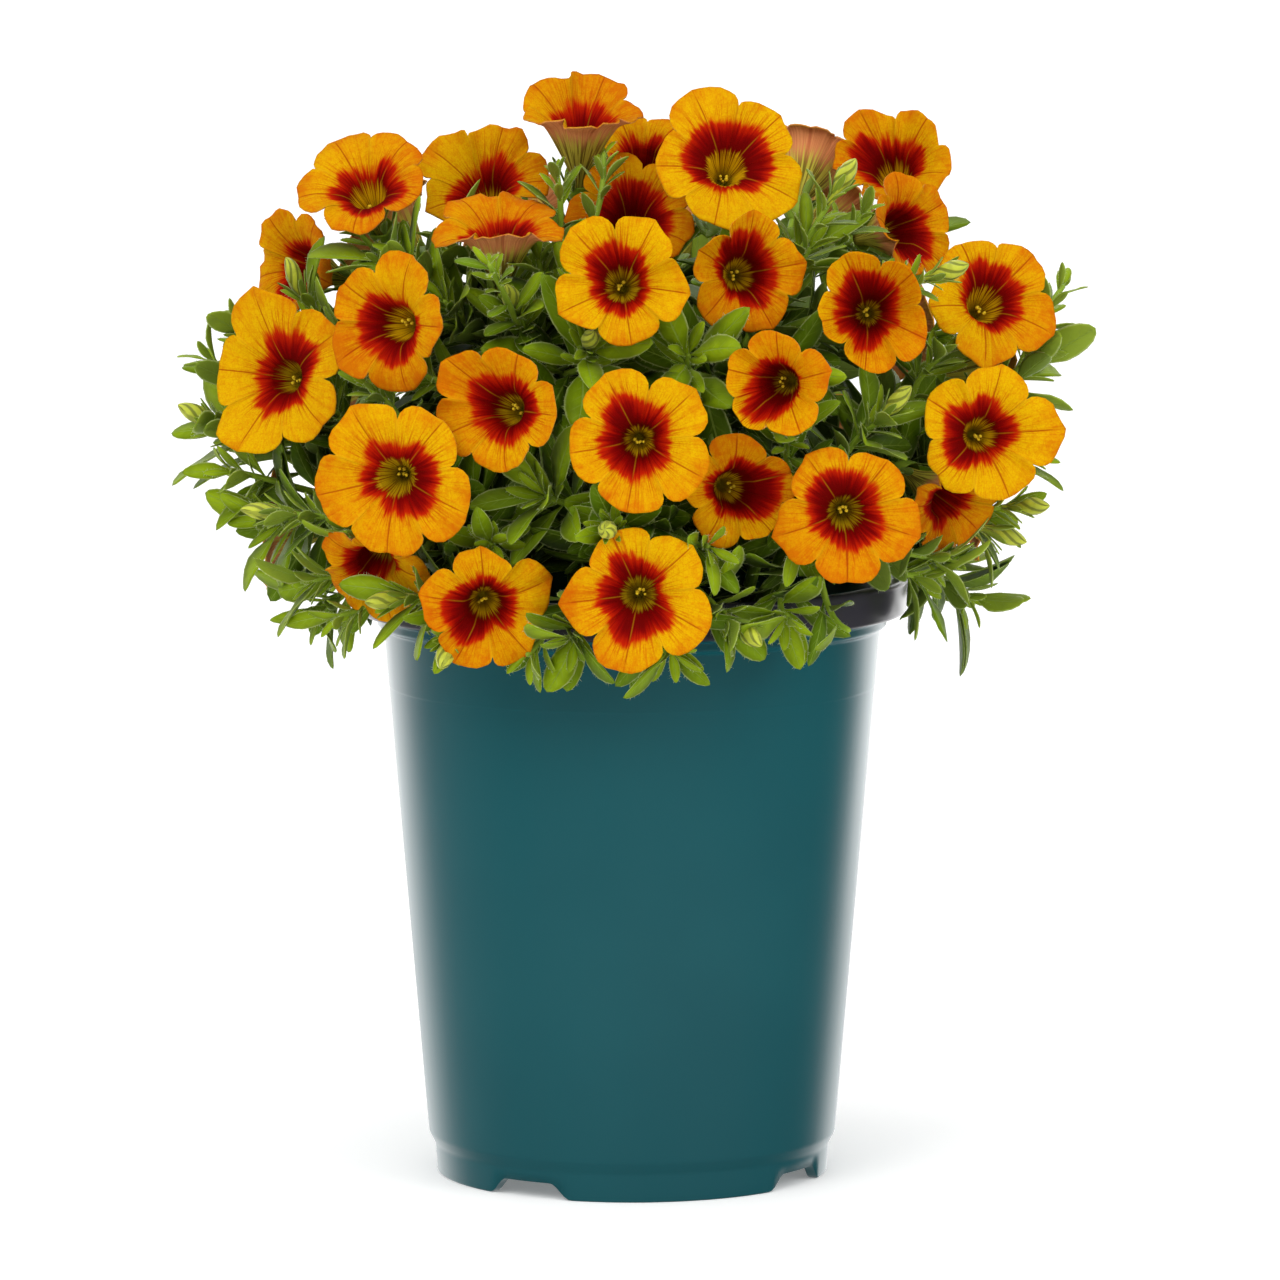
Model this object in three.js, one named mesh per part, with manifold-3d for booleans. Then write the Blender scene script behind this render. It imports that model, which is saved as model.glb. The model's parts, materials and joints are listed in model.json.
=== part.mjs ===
// A calibrachoa in full flower, standing in a round nursery pot.
//
// Millimetres, +Z up. The origin is on the pot's axis at table level and the
// front of the pot is -Y. The pot is a turned shell on a notched foot ring, the
// soil is one plug with a plain hole for each stem, every leafy stem is one
// body with its own side branches, leaves, calyces and buds, and every bloom
// is one corolla whose tube stands in its calyx.

import * as THREE from "three";
import { mergeVertices } from "three/addons/utils/BufferGeometryUtils.js";
import Module from "manifold-3d";

const wasm = await Module();
wasm.setup();

// ---------------------------------------------------------------- dimensions

const POT = {
  sides: 32,
  floorUnder: 7.6,
  floorTop: 9.2,
  footInner: 40.9,
  footOuter: 43.1,
  footTop: 6.25,
  stepRadius: 43.5,
  bodyFootRadius: 44.9,
  bodyFootHeight: 8.9,
  bodyTopRadius: 54.5,
  bodyTopHeight: 120.6,
  collarRadius: 56.0,
  collarTop: 123.3,
  rimUnder: 124.4,
  rimRadius: 60.6,
  height: 132,
  lipInner: 57.2,
  wall: 1.2,
};

const NOTCH = { count: 4, firstTurn: -32, topWidth: 14, bottomWidth: 19.5, height: 3.6 };
const DRAIN = { count: 4, radius: 4.5, circle: 30, sides: 10 };

const SOIL = { gap: 0.35, top: 118.5, bump: 1.5, rings: 2, sides: 18, holeDepth: 17 };

const STEM = { sides: 5, radius: 1.3, steps: 5, holeRoom: 0.38, holeSides: 6 };
const BRANCH = { sides: 5, radius: 0.85, steps: 3, rootPart: 0.35, neckPart: 0.4 };
const SHOOT = { sides: 3, radius: 1.05, steps: BRANCH.steps, reaches: [1, 0.9, 0.8, 0.7] };

const CALYX = { depth: 21.5, seat: 19.4, cupDepth: 16.9, cupRadius: 2.1, tipDepth: 12.4, tipRadius: 4.3 };
CALYX.notchDepth = 16.6;
CALYX.notchRadius = 3.15;

const BLOOM = {
  lobes: 5,
  notchReach: 0.74,
  shoulderReach: 1.02,
  shoulderTurn: 17,
  midReach: 0.56,
  midDepth: 1.7,
  mouthRadius: 2.9,
  mouthDepth: 6.4,
  throatDepth: 11,
  neckRadius: 3.7,
  neckDepth: 8.6,
  tubeRadius: 1.6,
  tubeDepth: 16.6,
  tubeEnd: 18.9,
  petal: 0.65,
  wave: 0.9,
};

const LEAF = { thickness: 0.65, shoulder: 0.42, shoulderWidth: 0.86, belly: 0.76, bellyWidth: 0.9 };
const BUD = { every: 3, length: 12, belly: 5.5, radius: 1.9 };

// Leaves on a flower stalk, in the tuft at a shoot's end and on a stem: the
// stretch of the rod, the angle to it at its start, how many and how long.
const STALK_LEAVES = { count: 3, from: 0.3, to: 0.75, spread: 62, length: 22 };
const TUFT_LEAVES = { from: 0.55, to: 1, spread: 72 };
const STEM_LEAVES = { count: 9, from: 0.3, to: 1, spread: 66, length: 24 };

const CLEARANCE = 0.32;
const SIMPLIFY = 0.04;
const CROWN = new THREE.Vector3(0, 0, 138);
const ENVELOPE = { x: 101, y: 89, low: 109, high: 241 };
const LEAF_LIMIT = 190;

// The directions in which the leafy stems fan out from the crown:
// how many, the turn of the first, the rise above level, the reach.
const STEM_RINGS = [
  { count: 9, firstTurn: 0, rise: 12, reach: 58, hole: 37 },
  { count: 5, firstTurn: 36, rise: 48, reach: 52, hole: 21 },
  { count: 1, firstTurn: 150, rise: 82, reach: 55, hole: 3 },
];

// Blooms on the front half: centre of the face (x, y, z), turn of the face
// from the front towards +X, tip of the face above level, face radius.
const FRONT_BLOOMS = [
  [-58, -25, 220.5, -15, 42, 15],
  [-32.5, -10, 219.5, -10, 40, 14.5],
  [-28, -45, 212, 0, 62, 14.5],
  [-11, -20, 234, 5, 66, 14.5],
  [20.5, -38, 225.5, 5, 25, 16.5],
  [57, 5, 222.5, -8, 35, 13.5],
  [60.5, -13, 209.5, 40, 12, 12.5],
  [77.5, -27, 195, 15, 20, 15],
  [51, -54, 194, 3, 5, 14],
  [24, -52, 202, 10, 5, 13.5],
  [0, -28, 213.5, 0, 32, 14],
  [-2, -68, 201.5, 0, 10, 14.5],
  [-52, -58, 192, -30, 5, 14.5],
  [-77, -38, 179.5, -30, 10, 17],
  [-74.5, -10, 201.5, -45, 15, 12],
  [-28.5, -76, 176, -25, 10, 14.5],
  [1.5, -86, 169, 0, 0, 15],
  [30, -79, 180.5, -15, 0, 12],
  [22.5, -70, 157.5, 15, 0, 12.5],
  [-50.5, -76, 160.5, -10, 0, 17],
  [-30.5, -75, 133, 5, -5, 13.5],
  [1.5, -84, 137, 0, 5, 15.5],
  [45.5, -76, 153, 5, 0, 15],
  [75.5, -50, 167.5, 10, 5, 15.5],
  [70, -38, 151, 40, -20, 12],
  [-55.5, -58, 139, -20, -30, 12],
  [2, 2, 225, 0, 45, 12],
  [39.5, 20, 223, 165, 38, 11.5],
];

// Blooms on the back half stand in rows: turns of the row's first and last
// bloom, how many, height, distance from the axis and tip of the face.
const BACK_ROWS = [
  { from: 94, to: 266, count: 5, z: 146, out: 77, tip: -2, radius: 15 },
  { from: 94, to: 266, count: 6, z: 180, out: 79, tip: 10, radius: 15 },
  { from: 130, to: 250, count: 4, z: 211, out: 58, tip: 38, radius: 14.5 },
];

// Leafy shoot tips on the front: tip (x, y, z), leaves in the tuft, leaf length.
const FRONT_SHOOTS = [
  [-88, -18, 166, 8, 21],
  [-78, -30, 147, 6, 21],
  [-68, -46, 136, 5, 19],
  [-46, -60, 134, 5, 19],
  [-12, -72, 127, 6, 21],
  [8, -72, 124, 5, 20],
  [20, -68, 131, 5, 19],
  [33, -62, 130, 6, 19],
  [62, -40, 136, 6, 20],
  [74, -28, 146, 4, 20],
  [86, -8, 178, 8, 22],
  [-18, -66, 156, 7, 20],
  [-10, -56, 186, 5, 22],
  [12, -56, 185, 6, 22],
  [38, -34, 206, 5, 20],
  [-24, -46, 192, 5, 19],
  [-40, -38, 195, 5, 20],
  [-54, -30, 203, 5, 18],
  [52, -50, 170, 6, 19],
];

// Leafy shoot tips on the sides and the back, in rows like the blooms.
const BACK_SHOOT_ROWS = [
  { from: 80, to: 285, count: 7, z: 133, out: 72, leaves: 5, length: 20 },
  { from: 96, to: 270, count: 7, z: 168, out: 80, leaves: 6, length: 20 },
  { from: 120, to: 250, count: 4, z: 202, out: 62, leaves: 5, length: 20 },
];

// ------------------------------------------------------------------ materials

const finish = (color, roughness) => new THREE.MeshStandardMaterial({ color, roughness, metalness: 0 });

const PLASTIC = finish(0x1c545a, 0.25);
const PEAT = finish(0x3a2a1e, 0.95);
const GREEN = finish(0x4b7014, 0.6);
const PETAL = finish(0xf0a010, 0.5);

// -------------------------------------------------------------------- helpers

const radians = (degrees) => (degrees * Math.PI) / 180;
const point = (x, y, z) => new THREE.Vector3(x, y, z);
const along = (origin, direction, distance) => origin.clone().addScaledVector(direction, distance);

// The level direction at a turn from the front (-Y) towards +X.
const outward = (turn) => point(Math.sin(radians(turn)), -Math.cos(radians(turn)), 0);

// The direction at a turn from the front and a rise above level.
function heading(turn, rise) {
  const level = outward(turn).multiplyScalar(Math.cos(radians(rise)));
  return level.setZ(Math.sin(radians(rise)));
}

// Repeatable random numbers from 0 to 1.
function seeded(seed) {
  let state = seed | 0;
  return () => {
    state = (state + 0x6d2b79f5) | 0;
    let mix = Math.imul(state ^ (state >>> 15), 1 | state);
    mix = (mix + Math.imul(mix ^ (mix >>> 7), 61 | mix)) ^ mix;
    return ((mix ^ (mix >>> 14)) >>> 0) / 4294967296;
  };
}

// Two directions square to a given one. The leaning axis is one that no stem follows.
const LEANING_AXIS = point(0.6, 0.64, -0.48);
function across(direction) {
  const side = point().crossVectors(direction, LEANING_AXIS).normalize();
  const up = point().crossVectors(side, direction).normalize();
  return [side, up];
}

// A direction square to another one, at an angle round it.
function around(direction, degrees) {
  const [side, up] = across(direction);
  return side.multiplyScalar(Math.cos(radians(degrees))).addScaledVector(up, Math.sin(radians(degrees)));
}

// A closed skin over rings with the same number of points. Points that
// coincide become one vertex, and faces that vanish are left out. From ring
// mirrorFrom on, the quads are split the other way.
function loft(rings, mirrorFrom = Infinity) {
  const positions = [];
  const faces = [];
  const known = new Map();
  const vertex = (p) => {
    const key = `${p.x.toFixed(5)},${p.y.toFixed(5)},${p.z.toFixed(5)}`;
    if (!known.has(key)) {
      known.set(key, positions.length / 3);
      positions.push(p.x, p.y, p.z);
    }
    return known.get(key);
  };
  const face = (a, b, c) => {
    if (a !== b && b !== c && c !== a) faces.push(a, b, c);
  };
  const indices = rings.map((ring) => ring.map(vertex));
  const size = rings[0].length;
  for (let i = 0; i + 1 < rings.length; i += 1) {
    for (let j = 0; j < size; j += 1) {
      const k = (j + 1) % size;
      const [a, b, c, d] = [indices[i][j], indices[i][k], indices[i + 1][k], indices[i + 1][j]];
      if (i < mirrorFrom) {
        face(a, b, c);
        face(a, c, d);
      } else {
        face(a, b, d);
        face(b, c, d);
      }
    }
  }
  const geometry = new THREE.BufferGeometry();
  geometry.setAttribute("position", new THREE.Float32BufferAttribute(positions, 3));
  geometry.setIndex(faces);
  return geometry;
}

// A solid from a closed geometry.
function solidFrom(geometry) {
  const bare = geometry.clone();
  bare.deleteAttribute("normal");
  bare.deleteAttribute("uv");
  const merged = mergeVertices(bare, 1e-4);
  const corners = new Uint32Array(merged.index.array);
  if (enclosedVolume(merged) < 0) corners.reverse();
  return new wasm.Manifold(
    new wasm.Mesh({
      numProp: 3,
      vertProperties: new Float32Array(merged.attributes.position.array),
      triVerts: corners,
    }),
  );
}

// The volume that an indexed geometry encloses, negative where it is inside out.
function enclosedVolume(geometry) {
  const position = geometry.attributes.position;
  const corner = (i) => new THREE.Vector3().fromBufferAttribute(position, geometry.index.getX(i));
  let volume = 0;
  for (let i = 0; i < geometry.index.count; i += 3) {
    volume += corner(i).dot(corner(i + 1).cross(corner(i + 2))) / 6;
  }
  return volume;
}

// A named mesh from a solid.
function meshFrom(name, solid, material) {
  const { vertProperties, triVerts } = solid.getMesh();
  const geometry = new THREE.BufferGeometry();
  geometry.setAttribute("position", new THREE.Float32BufferAttribute(vertProperties, 3));
  geometry.setIndex([...triVerts]);
  geometry.computeVertexNormals();
  const mesh = new THREE.Mesh(geometry, material);
  mesh.name = name;
  return mesh;
}

const numbered = (word, index) => `${word}_${String(index + 1).padStart(2, "0")}`;

// A ring of points round a centre, square to a direction, from a given side on.
function ringAt(centre, direction, side, radius, sides) {
  const up = point().crossVectors(side, direction);
  return Array.from({ length: sides }, (_, j) => {
    const angle = (2 * Math.PI * j) / sides;
    return along(along(centre, side, radius * Math.cos(angle)), up, radius * Math.sin(angle));
  });
}

// ------------------------------------------------------------------------ pot

function potShell() {
  const { footInner, footOuter, floorUnder, floorTop, wall, height } = POT;
  const outline = [
    [0, floorUnder],
    [footInner - 0.1, floorUnder],
    [footInner, 0],
    [footOuter, 0],
    [POT.stepRadius, POT.footTop],
    [POT.bodyFootRadius, POT.bodyFootHeight],
    [POT.bodyTopRadius, POT.bodyTopHeight],
    [POT.collarRadius, POT.bodyTopHeight + 0.8],
    [POT.collarRadius - 0.2, POT.collarTop],
    [POT.rimRadius - 0.4, POT.rimUnder],
    [POT.rimRadius, height - 0.8],
    [POT.rimRadius - 0.7, height],
    [POT.lipInner, height],
    [POT.lipInner - 0.8, height - 1.2],
    [POT.bodyTopRadius - wall, POT.bodyTopHeight],
    [POT.bodyFootRadius - wall, floorTop],
    [0, floorTop],
  ];
  return solidFrom(new THREE.LatheGeometry(outline.map(([r, z]) => new THREE.Vector2(r, z)), POT.sides)
    .rotateX(Math.PI / 2));
}

// A wedge that cuts one sloped notch through the foot ring.
function footNotch(turn) {
  const half = [NOTCH.bottomWidth / 2, NOTCH.topWidth / 2];
  const outline = new THREE.Shape([
    new THREE.Vector2(-half[0], -1),
    new THREE.Vector2(half[0], -1),
    new THREE.Vector2(half[1], NOTCH.height),
    new THREE.Vector2(-half[1], NOTCH.height),
  ]);
  const reach = POT.footOuter - POT.footInner + 8;
  const wedge = new THREE.ExtrudeGeometry(outline, { depth: reach, bevelEnabled: false, steps: 1 });
  wedge.rotateX(Math.PI / 2);
  wedge.translate(0, -(POT.footInner - 6), 0);
  wedge.rotateZ(radians(turn));
  return solidFrom(wedge);
}

function drainHole(turn) {
  const hole = new THREE.CylinderGeometry(DRAIN.radius, DRAIN.radius, 6, DRAIN.sides);
  hole.rotateX(Math.PI / 2);
  hole.translate(0, -DRAIN.circle, (POT.floorUnder + POT.floorTop) / 2);
  hole.rotateZ(radians(turn));
  return solidFrom(hole);
}

function potSolid() {
  let pot = potShell();
  for (let i = 0; i < NOTCH.count; i += 1) {
    pot = pot.subtract(footNotch(NOTCH.firstTurn + (360 / NOTCH.count) * i));
  }
  for (let i = 0; i < DRAIN.count; i += 1) {
    pot = pot.subtract(drainHole(NOTCH.firstTurn + (360 / DRAIN.count) * (i + 0.5)));
  }
  return pot;
}

// ----------------------------------------------------------------------- soil

// The height of the bumpy soil top at a place.
function soilHeight(x, y) {
  const swell = Math.sin(x * 0.21 + 0.6) * Math.cos(y * 0.17 - 0.4);
  const crumb = Math.sin(x * 0.47 - y * 0.39 + 1.1);
  return SOIL.top + SOIL.bump * (0.65 * swell + 0.35 * crumb);
}

function soilPlug() {
  const level = (radius, height) => Array.from({ length: SOIL.sides }, (_, j) => {
    const spot = outward((360 * j) / SOIL.sides).multiplyScalar(radius);
    return spot.setZ(height ?? soilHeight(spot.x, spot.y));
  });
  const slope = (POT.bodyTopRadius - POT.bodyFootRadius) / (POT.bodyTopHeight - POT.bodyFootHeight);
  const inside = (z) => POT.bodyFootRadius - POT.wall + slope * (z - POT.floorTop) - SOIL.gap - 0.35;
  const bottom = POT.floorTop + SOIL.gap;
  const rim = inside(SOIL.top - SOIL.bump);
  const top = [];
  for (let i = SOIL.rings; i > 0; i -= 1) top.push(level((rim * i) / (SOIL.rings + 0.5)));
  return solidFrom(loft([
    level(0, bottom),
    level(inside(bottom), bottom),
    level(rim, SOIL.top - SOIL.bump * 1.4),
    ...top,
    level(0, soilHeight(0, 0)),
  ]));
}

// A plain hole that one stem stands in.
function stemHole(root) {
  const radius = (STEM.radius + STEM.holeRoom) / Math.cos(Math.PI / STEM.holeSides);
  const hole = new THREE.CylinderGeometry(radius, radius, SOIL.holeDepth + 8, STEM.holeSides);
  hole.rotateX(Math.PI / 2);
  hole.translate(root.x, root.y, SOIL.top - SOIL.holeDepth + (SOIL.holeDepth + 8) / 2);
  return solidFrom(hole);
}

// --------------------------------------------------------------------- blooms

// A bloom's frame: face centre, facing direction and the two directions of its
// face, rolled by its own small angle.
function bloomFrame(centre, turn, tip, radius, index) {
  const random = seeded(500 + index);
  const facing = heading(turn, tip);
  const roll = random() * 72;
  return { centre, facing, radius, side: around(facing, roll), up: around(facing, roll + 90), index };
}

const onFace = (frame, degrees, reach, depth) => along(
  along(along(frame.centre, frame.side, reach * Math.cos(radians(degrees))),
    frame.up, reach * Math.sin(radians(degrees))),
  frame.facing, -depth,
);

// The 15 points round a bloom: each notch with a lobe shoulder on either side.
// Rings of the tube hold their five points three times over.
function corollaSolid(frame, swell = 0) {
  const random = seeded(900 + frame.index);
  const turns = [];
  for (let lobe = 0; lobe < BLOOM.lobes; lobe += 1) {
    turns.push([-BLOOM.shoulderTurn, BLOOM.shoulderReach], [0, BLOOM.notchReach]);
    turns.push([BLOOM.shoulderTurn, BLOOM.shoulderReach]);
  }
  const step = 360 / BLOOM.lobes;
  const turnOf = (j) => step * Math.floor(j / 3) + turns[j][0];
  const waves = turns.map(() => (random() - 0.5) * 2 * BLOOM.wave);
  const tube = (reach, depth) => turns.map((_, j) => onFace(frame, step * Math.floor(j / 3), reach, depth));
  const mid = (depth) => tube(BLOOM.midReach * frame.radius, BLOOM.midDepth + depth);
  const edge = (depth) => turns.map(([, reach], j) => onFace(
    frame, turnOf(j), reach * frame.radius + swell, waves[j] + depth));
  return solidFrom(loft([
    tube(0, BLOOM.throatDepth),
    tube(BLOOM.mouthRadius, BLOOM.mouthDepth),
    mid(-swell),
    edge(-swell),
    edge(BLOOM.petal + swell),
    mid(BLOOM.petal + 0.15 + swell),
    tube(BLOOM.neckRadius + swell, BLOOM.neckDepth + swell),
    tube(BLOOM.tubeRadius, BLOOM.tubeDepth),
    tube(0, BLOOM.tubeEnd),
  ], 4));
}

function allBlooms() {
  const frames = FRONT_BLOOMS.map(([x, y, z, turn, tip, radius], index) => (
    bloomFrame(point(x, y, z), turn, tip, radius, index)));
  for (const row of BACK_ROWS) {
    for (let i = 0; i < row.count; i += 1) {
      const index = frames.length;
      const random = seeded(700 + index);
      const turn = row.from + ((row.to - row.from) * i) / (row.count - 1) + (random() - 0.5) * 8;
      const centre = outward(turn).multiplyScalar(row.out + (random() - 0.5) * 6);
      centre.setZ(row.z + (random() - 0.5) * 14);
      const faceTurn = turn + (random() - 0.5) * 30;
      const faceTip = row.tip + (random() - 0.5) * 24;
      frames.push(bloomFrame(centre, faceTurn, faceTip, row.radius, index));
    }
  }
  return frames;
}

// -------------------------------------------------------------- leafy stems

// A leafy stem: its root in the soil, its direction and its main axis.
function allStems() {
  const stems = [];
  for (const ring of STEM_RINGS) {
    for (let i = 0; i < ring.count; i += 1) {
      const turn = ring.firstTurn + (360 / ring.count) * i;
      const direction = heading(turn, ring.rise);
      const root = outward(turn).multiplyScalar(ring.hole);
      const ground = root.clone().setZ(SOIL.top + SOIL.bump + 1);
      const tip = along(CROWN, direction, ring.reach);
      const rise = tip.z - ground.z;
      const axis = new THREE.CubicBezierCurve3(
        ground,
        ground.clone().setZ(ground.z + Math.max(rise * 0.5, 12)),
        tip.clone().lerp(ground, 0.3).setZ(tip.z + (rise < 40 ? 6 : -8)),
        tip,
      );
      stems.push({ direction, root, axis: new Rod(axis, STEM.steps), parts: [], index: stems.length });
    }
  }
  return stems;
}

function nearestStem(stems, place) {
  const direction = place.clone().sub(CROWN).normalize();
  let best = stems[0];
  for (const stem of stems) {
    if (stem.direction.dot(direction) > best.direction.dot(direction)) best = stem;
  }
  return best;
}

// The straight pieces that a rod along a curve is made of. A place or a
// direction on the rod is taken on these, so that what grows from the rod is
// rooted inside it. The rings are carried along from the last one backwards
// without turning, so that the rod isn't wrung.
class Rod {
  constructor(curve, steps, endSide = around(curve.getTangent(1), 0)) {
    this.joints = Array.from({ length: steps + 1 }, (_, i) => curve.getPoint(i / steps));
    this.slopes = Array.from({ length: steps + 1 }, (_, i) => curve.getTangent(i / steps));
    this.sides = [endSide.clone()];
    for (let i = steps - 1; i >= 0; i -= 1) {
      const slope = this.slopes[i];
      const side = this.sides[0].clone();
      this.sides.unshift(side.addScaledVector(slope, -side.dot(slope)).normalize());
    }
    this.steps = steps;
  }

  piece(t) {
    return Math.min(Math.floor(t * this.steps), this.steps - 1);
  }

  at(t) {
    const i = this.piece(t);
    return this.joints[i].clone().lerp(this.joints[i + 1], t * this.steps - i);
  }

  towards(t) {
    const i = this.piece(t);
    return this.joints[i + 1].clone().sub(this.joints[i]).normalize();
  }

  ring(i, radius, sides) {
    return ringAt(this.joints[i], this.slopes[i], this.sides[i], radius, sides);
  }

  // The pointed end, a little past the last joint.
  tip(distance, sides) {
    const end = along(this.at(1), this.towards(1), distance);
    return Array.from({ length: sides }, () => end);
  }
}

function stemSolid(stem) {
  const { sides, radius, steps } = STEM;
  const bottom = stem.root.clone().setZ(SOIL.top - SOIL.holeDepth + 0.5);
  const up = point(0, 0, 1);
  const rings = [
    ringAt(bottom, up, stem.axis.sides[0], 0, sides),
    ringAt(bottom, up, stem.axis.sides[0], radius, sides),
  ];
  for (let i = 0; i <= steps; i += 1) rings.push(stem.axis.ring(i, radius, sides));
  rings.push(stem.axis.tip(2, sides));
  return solidFrom(loft(rings));
}

// The stem's own parameter nearest to a place, a little nearer the root.
function forkAt(stem, place) {
  let best = 0.3;
  let nearest = Infinity;
  for (let t = 0.3; t < 0.96; t += 0.05) {
    const distance = stem.axis.at(t).distanceTo(place);
    if (distance < nearest) {
      nearest = distance;
      best = t;
    }
  }
  return Math.max(0.3, best - 0.12);
}

// A side branch from its stem to a place, arriving in a given direction. It
// may bow aside by so many millimetres at an angle round its own chord.
function branchRod(stem, place, arrival, bow, bowTurn, endSide) {
  const t = forkAt(stem, place);
  const start = stem.axis.at(t);
  const chord = place.clone().sub(start);
  const length = chord.length();
  const aside = around(chord.normalize(), bowTurn).multiplyScalar(bow);
  const curve = new THREE.CubicBezierCurve3(
    start,
    along(start, stem.axis.towards(t), length * BRANCH.rootPart).add(aside),
    along(place, arrival, -length * BRANCH.neckPart).add(aside),
    place,
  );
  return new Rod(curve, BRANCH.steps, endSide);
}

// The bows that a branch tries, straight first.
const BOWS = [[0, 0]];
for (const bow of [6, 12, 18]) {
  for (let turn = 0; turn < 360; turn += 45) BOWS.push([bow, turn]);
}

// A flower stalk that ends in a calyx: a cup with five pointed sepals.
function stalkSolid(frame, rod, swell = 0) {
  const double = (ring) => ring.flatMap((p) => [p, p]);
  const cup = (reach, depth, oddReach = reach, oddDepth = depth) => Array.from(
    { length: 2 * BLOOM.lobes },
    (_, j) => {
      const even = j % 2 === 0;
      const turn = (360 / BLOOM.lobes) * (even ? j / 2 : (j - 1) / 2 + (oddReach === reach ? 0 : 0.5));
      return onFace(frame, turn, even ? reach : oddReach, even ? depth : oddDepth);
    },
  );
  const radius = BRANCH.radius + swell;
  const sides = BRANCH.sides;
  const rings = [double(rod.ring(0, 0, sides))];
  for (let i = 1; i < BRANCH.steps; i += 1) rings.push(double(rod.ring(i, radius, sides)));
  const face = Array.from({ length: sides }, (_, j) => onFace(frame, 72 * j, radius, CALYX.depth));
  rings.push(double(face));
  rings.push(cup(CALYX.tipRadius + swell, CALYX.tipDepth, CALYX.notchRadius + swell, CALYX.notchDepth));
  rings.push(cup(CALYX.cupRadius, CALYX.cupDepth));
  rings.push(cup(0, CALYX.seat));
  return solidFrom(loft(rings));
}

// A shoot: a thin branch that ends in a point or in a club-shaped bud.
function shootSolid(rod, budded, swell = 0) {
  const { sides, steps, radius } = SHOOT;
  const rings = [rod.ring(0, 0, sides)];
  for (let i = 1; i <= steps; i += 1) {
    rings.push(rod.ring(i, (radius + swell) * (1 - (0.25 * i) / steps), sides));
  }
  if (budded) {
    const belly = along(rod.at(1), rod.towards(1), BUD.belly);
    rings.push(ringAt(belly, rod.slopes[steps], rod.sides[steps], BUD.radius + swell, sides));
  }
  rings.push(rod.tip(budded ? BUD.length : 2.5, sides));
  return solidFrom(loft(rings));
}

// --------------------------------------------------------------------- leaves

// A leaf: root on a stem's axis, direction, upper side, length, width, curl.
// Its blade narrows to the root, is widest past the middle and curls down
// towards a pointed tip. The blade is one plate of even thickness.
function leafSolid(leaf, swell = 0) {
  const flank = point().crossVectors(leaf.direction, leaf.upper).normalize();
  const thickness = LEAF.thickness + 2 * swell;
  const station = (t, width) => {
    const spine = along(along(leaf.root, leaf.direction, leaf.length * t), leaf.upper, -leaf.curl * t * t);
    const half = (leaf.width * width) / 2 + (width > 0 ? swell : 0);
    const tall = t > 0 ? thickness : 0;
    const corner = (s, h) => along(along(spine, flank, s * half), leaf.upper, (h * tall) / 2);
    return [corner(-1, 1), corner(-1, -1), corner(1, -1), corner(1, 1)];
  };
  return solidFrom(loft([
    station(0, 0),
    station(LEAF.shoulder, LEAF.shoulderWidth),
    station(LEAF.belly, LEAF.bellyWidth),
    station(1 + swell / leaf.length, 0),
  ]));
}

const leafTip = (leaf) => along(along(leaf.root, leaf.direction, leaf.length), leaf.upper, -leaf.curl);

// Leaves set round a curve at the turn of a real shoot, 137.5 degrees apart.
// `spread` is the angle between leaf and stem, and `from` and `to` the stretch.
function leavesAlong(rod, { count, from, to, spread, length, seed }) {
  const random = seeded(seed);
  const leaves = [];
  let turn = random() * 360;
  for (let i = 0; i < count; i += 1) {
    const part = count > 1 ? i / (count - 1) : 0.5;
    const t = from + (to - from) * part;
    const tangent = rod.towards(t);
    const lean = radians(spread * (1 - 0.45 * part) + (random() - 0.5) * 16);
    const outwards = around(tangent, turn);
    const direction = tangent.clone().multiplyScalar(Math.cos(lean));
    direction.addScaledVector(outwards, Math.sin(lean));
    const upper = tangent.clone().addScaledVector(direction, -tangent.dot(direction)).normalize();
    const size = length * (0.82 + 0.36 * random()) * (1 - 0.2 * part);
    leaves.push({
      root: rod.at(t),
      direction,
      upper,
      length: size,
      width: size * (0.33 + 0.09 * random()),
      curl: size * (0.06 + 0.16 * random()),
    });
    turn += 137.5;
  }
  return leaves;
}

// ------------------------------------------------------------ room for each

const boxOf = (solid) => {
  const { min, max } = solid.boundingBox();
  return new THREE.Box3(new THREE.Vector3(...min), new THREE.Vector3(...max));
};

const placed = [];
const place = (owner, solid) => placed.push({ owner, solid, box: boxOf(solid) });

// True where a solid, made a little too large, touches nothing of another owner.
function clearOf(owner, solid) {
  const box = boxOf(solid);
  return placed.every((other) => (
    other.owner === owner || !other.box.intersectsBox(box) || solid.intersect(other.solid).isEmpty()));
}

function insideEnvelope(p) {
  const level = Math.abs(p.x) < ENVELOPE.x && Math.abs(p.y) < ENVELOPE.y;
  return level && p.z > ENVELOPE.low && p.z < ENVELOPE.high;
}

// The first bow of a branch that is clear of everything, or null.
function clearBranch(stem, make) {
  for (const [bow, turn] of BOWS) {
    const branch = make(bow, turn);
    if (clearOf(stem, branch.loose)) return branch;
  }
  return null;
}

// ------------------------------------------------------------------- assembly

const calibrachoa = new THREE.Group();
const stems = allStems();
const blooms = allBlooms();

const pot = potSolid();
const soil = stems.reduce((plug, stem) => plug.subtract(stemHole(stem.root)), soilPlug());
place("pot", pot);
place("soil", soil);
calibrachoa.add(meshFrom("pot", pot, PLASTIC), meshFrom("soil", soil, PEAT));

blooms.forEach((frame, i) => {
  const name = numbered("bloom", i);
  const solid = corollaSolid(frame);
  if (!clearOf(name, corollaSolid(frame, CLEARANCE))) throw new Error(`${name} has no room`);
  place(name, solid);
  calibrachoa.add(meshFrom(name, solid, PETAL));
});

for (const stem of stems) {
  const solid = stemSolid(stem);
  if (!clearOf(stem, solid)) throw new Error(`stem ${stem.index + 1} has no room`);
  stem.parts.push(solid);
  place(stem, solid);
}

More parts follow.
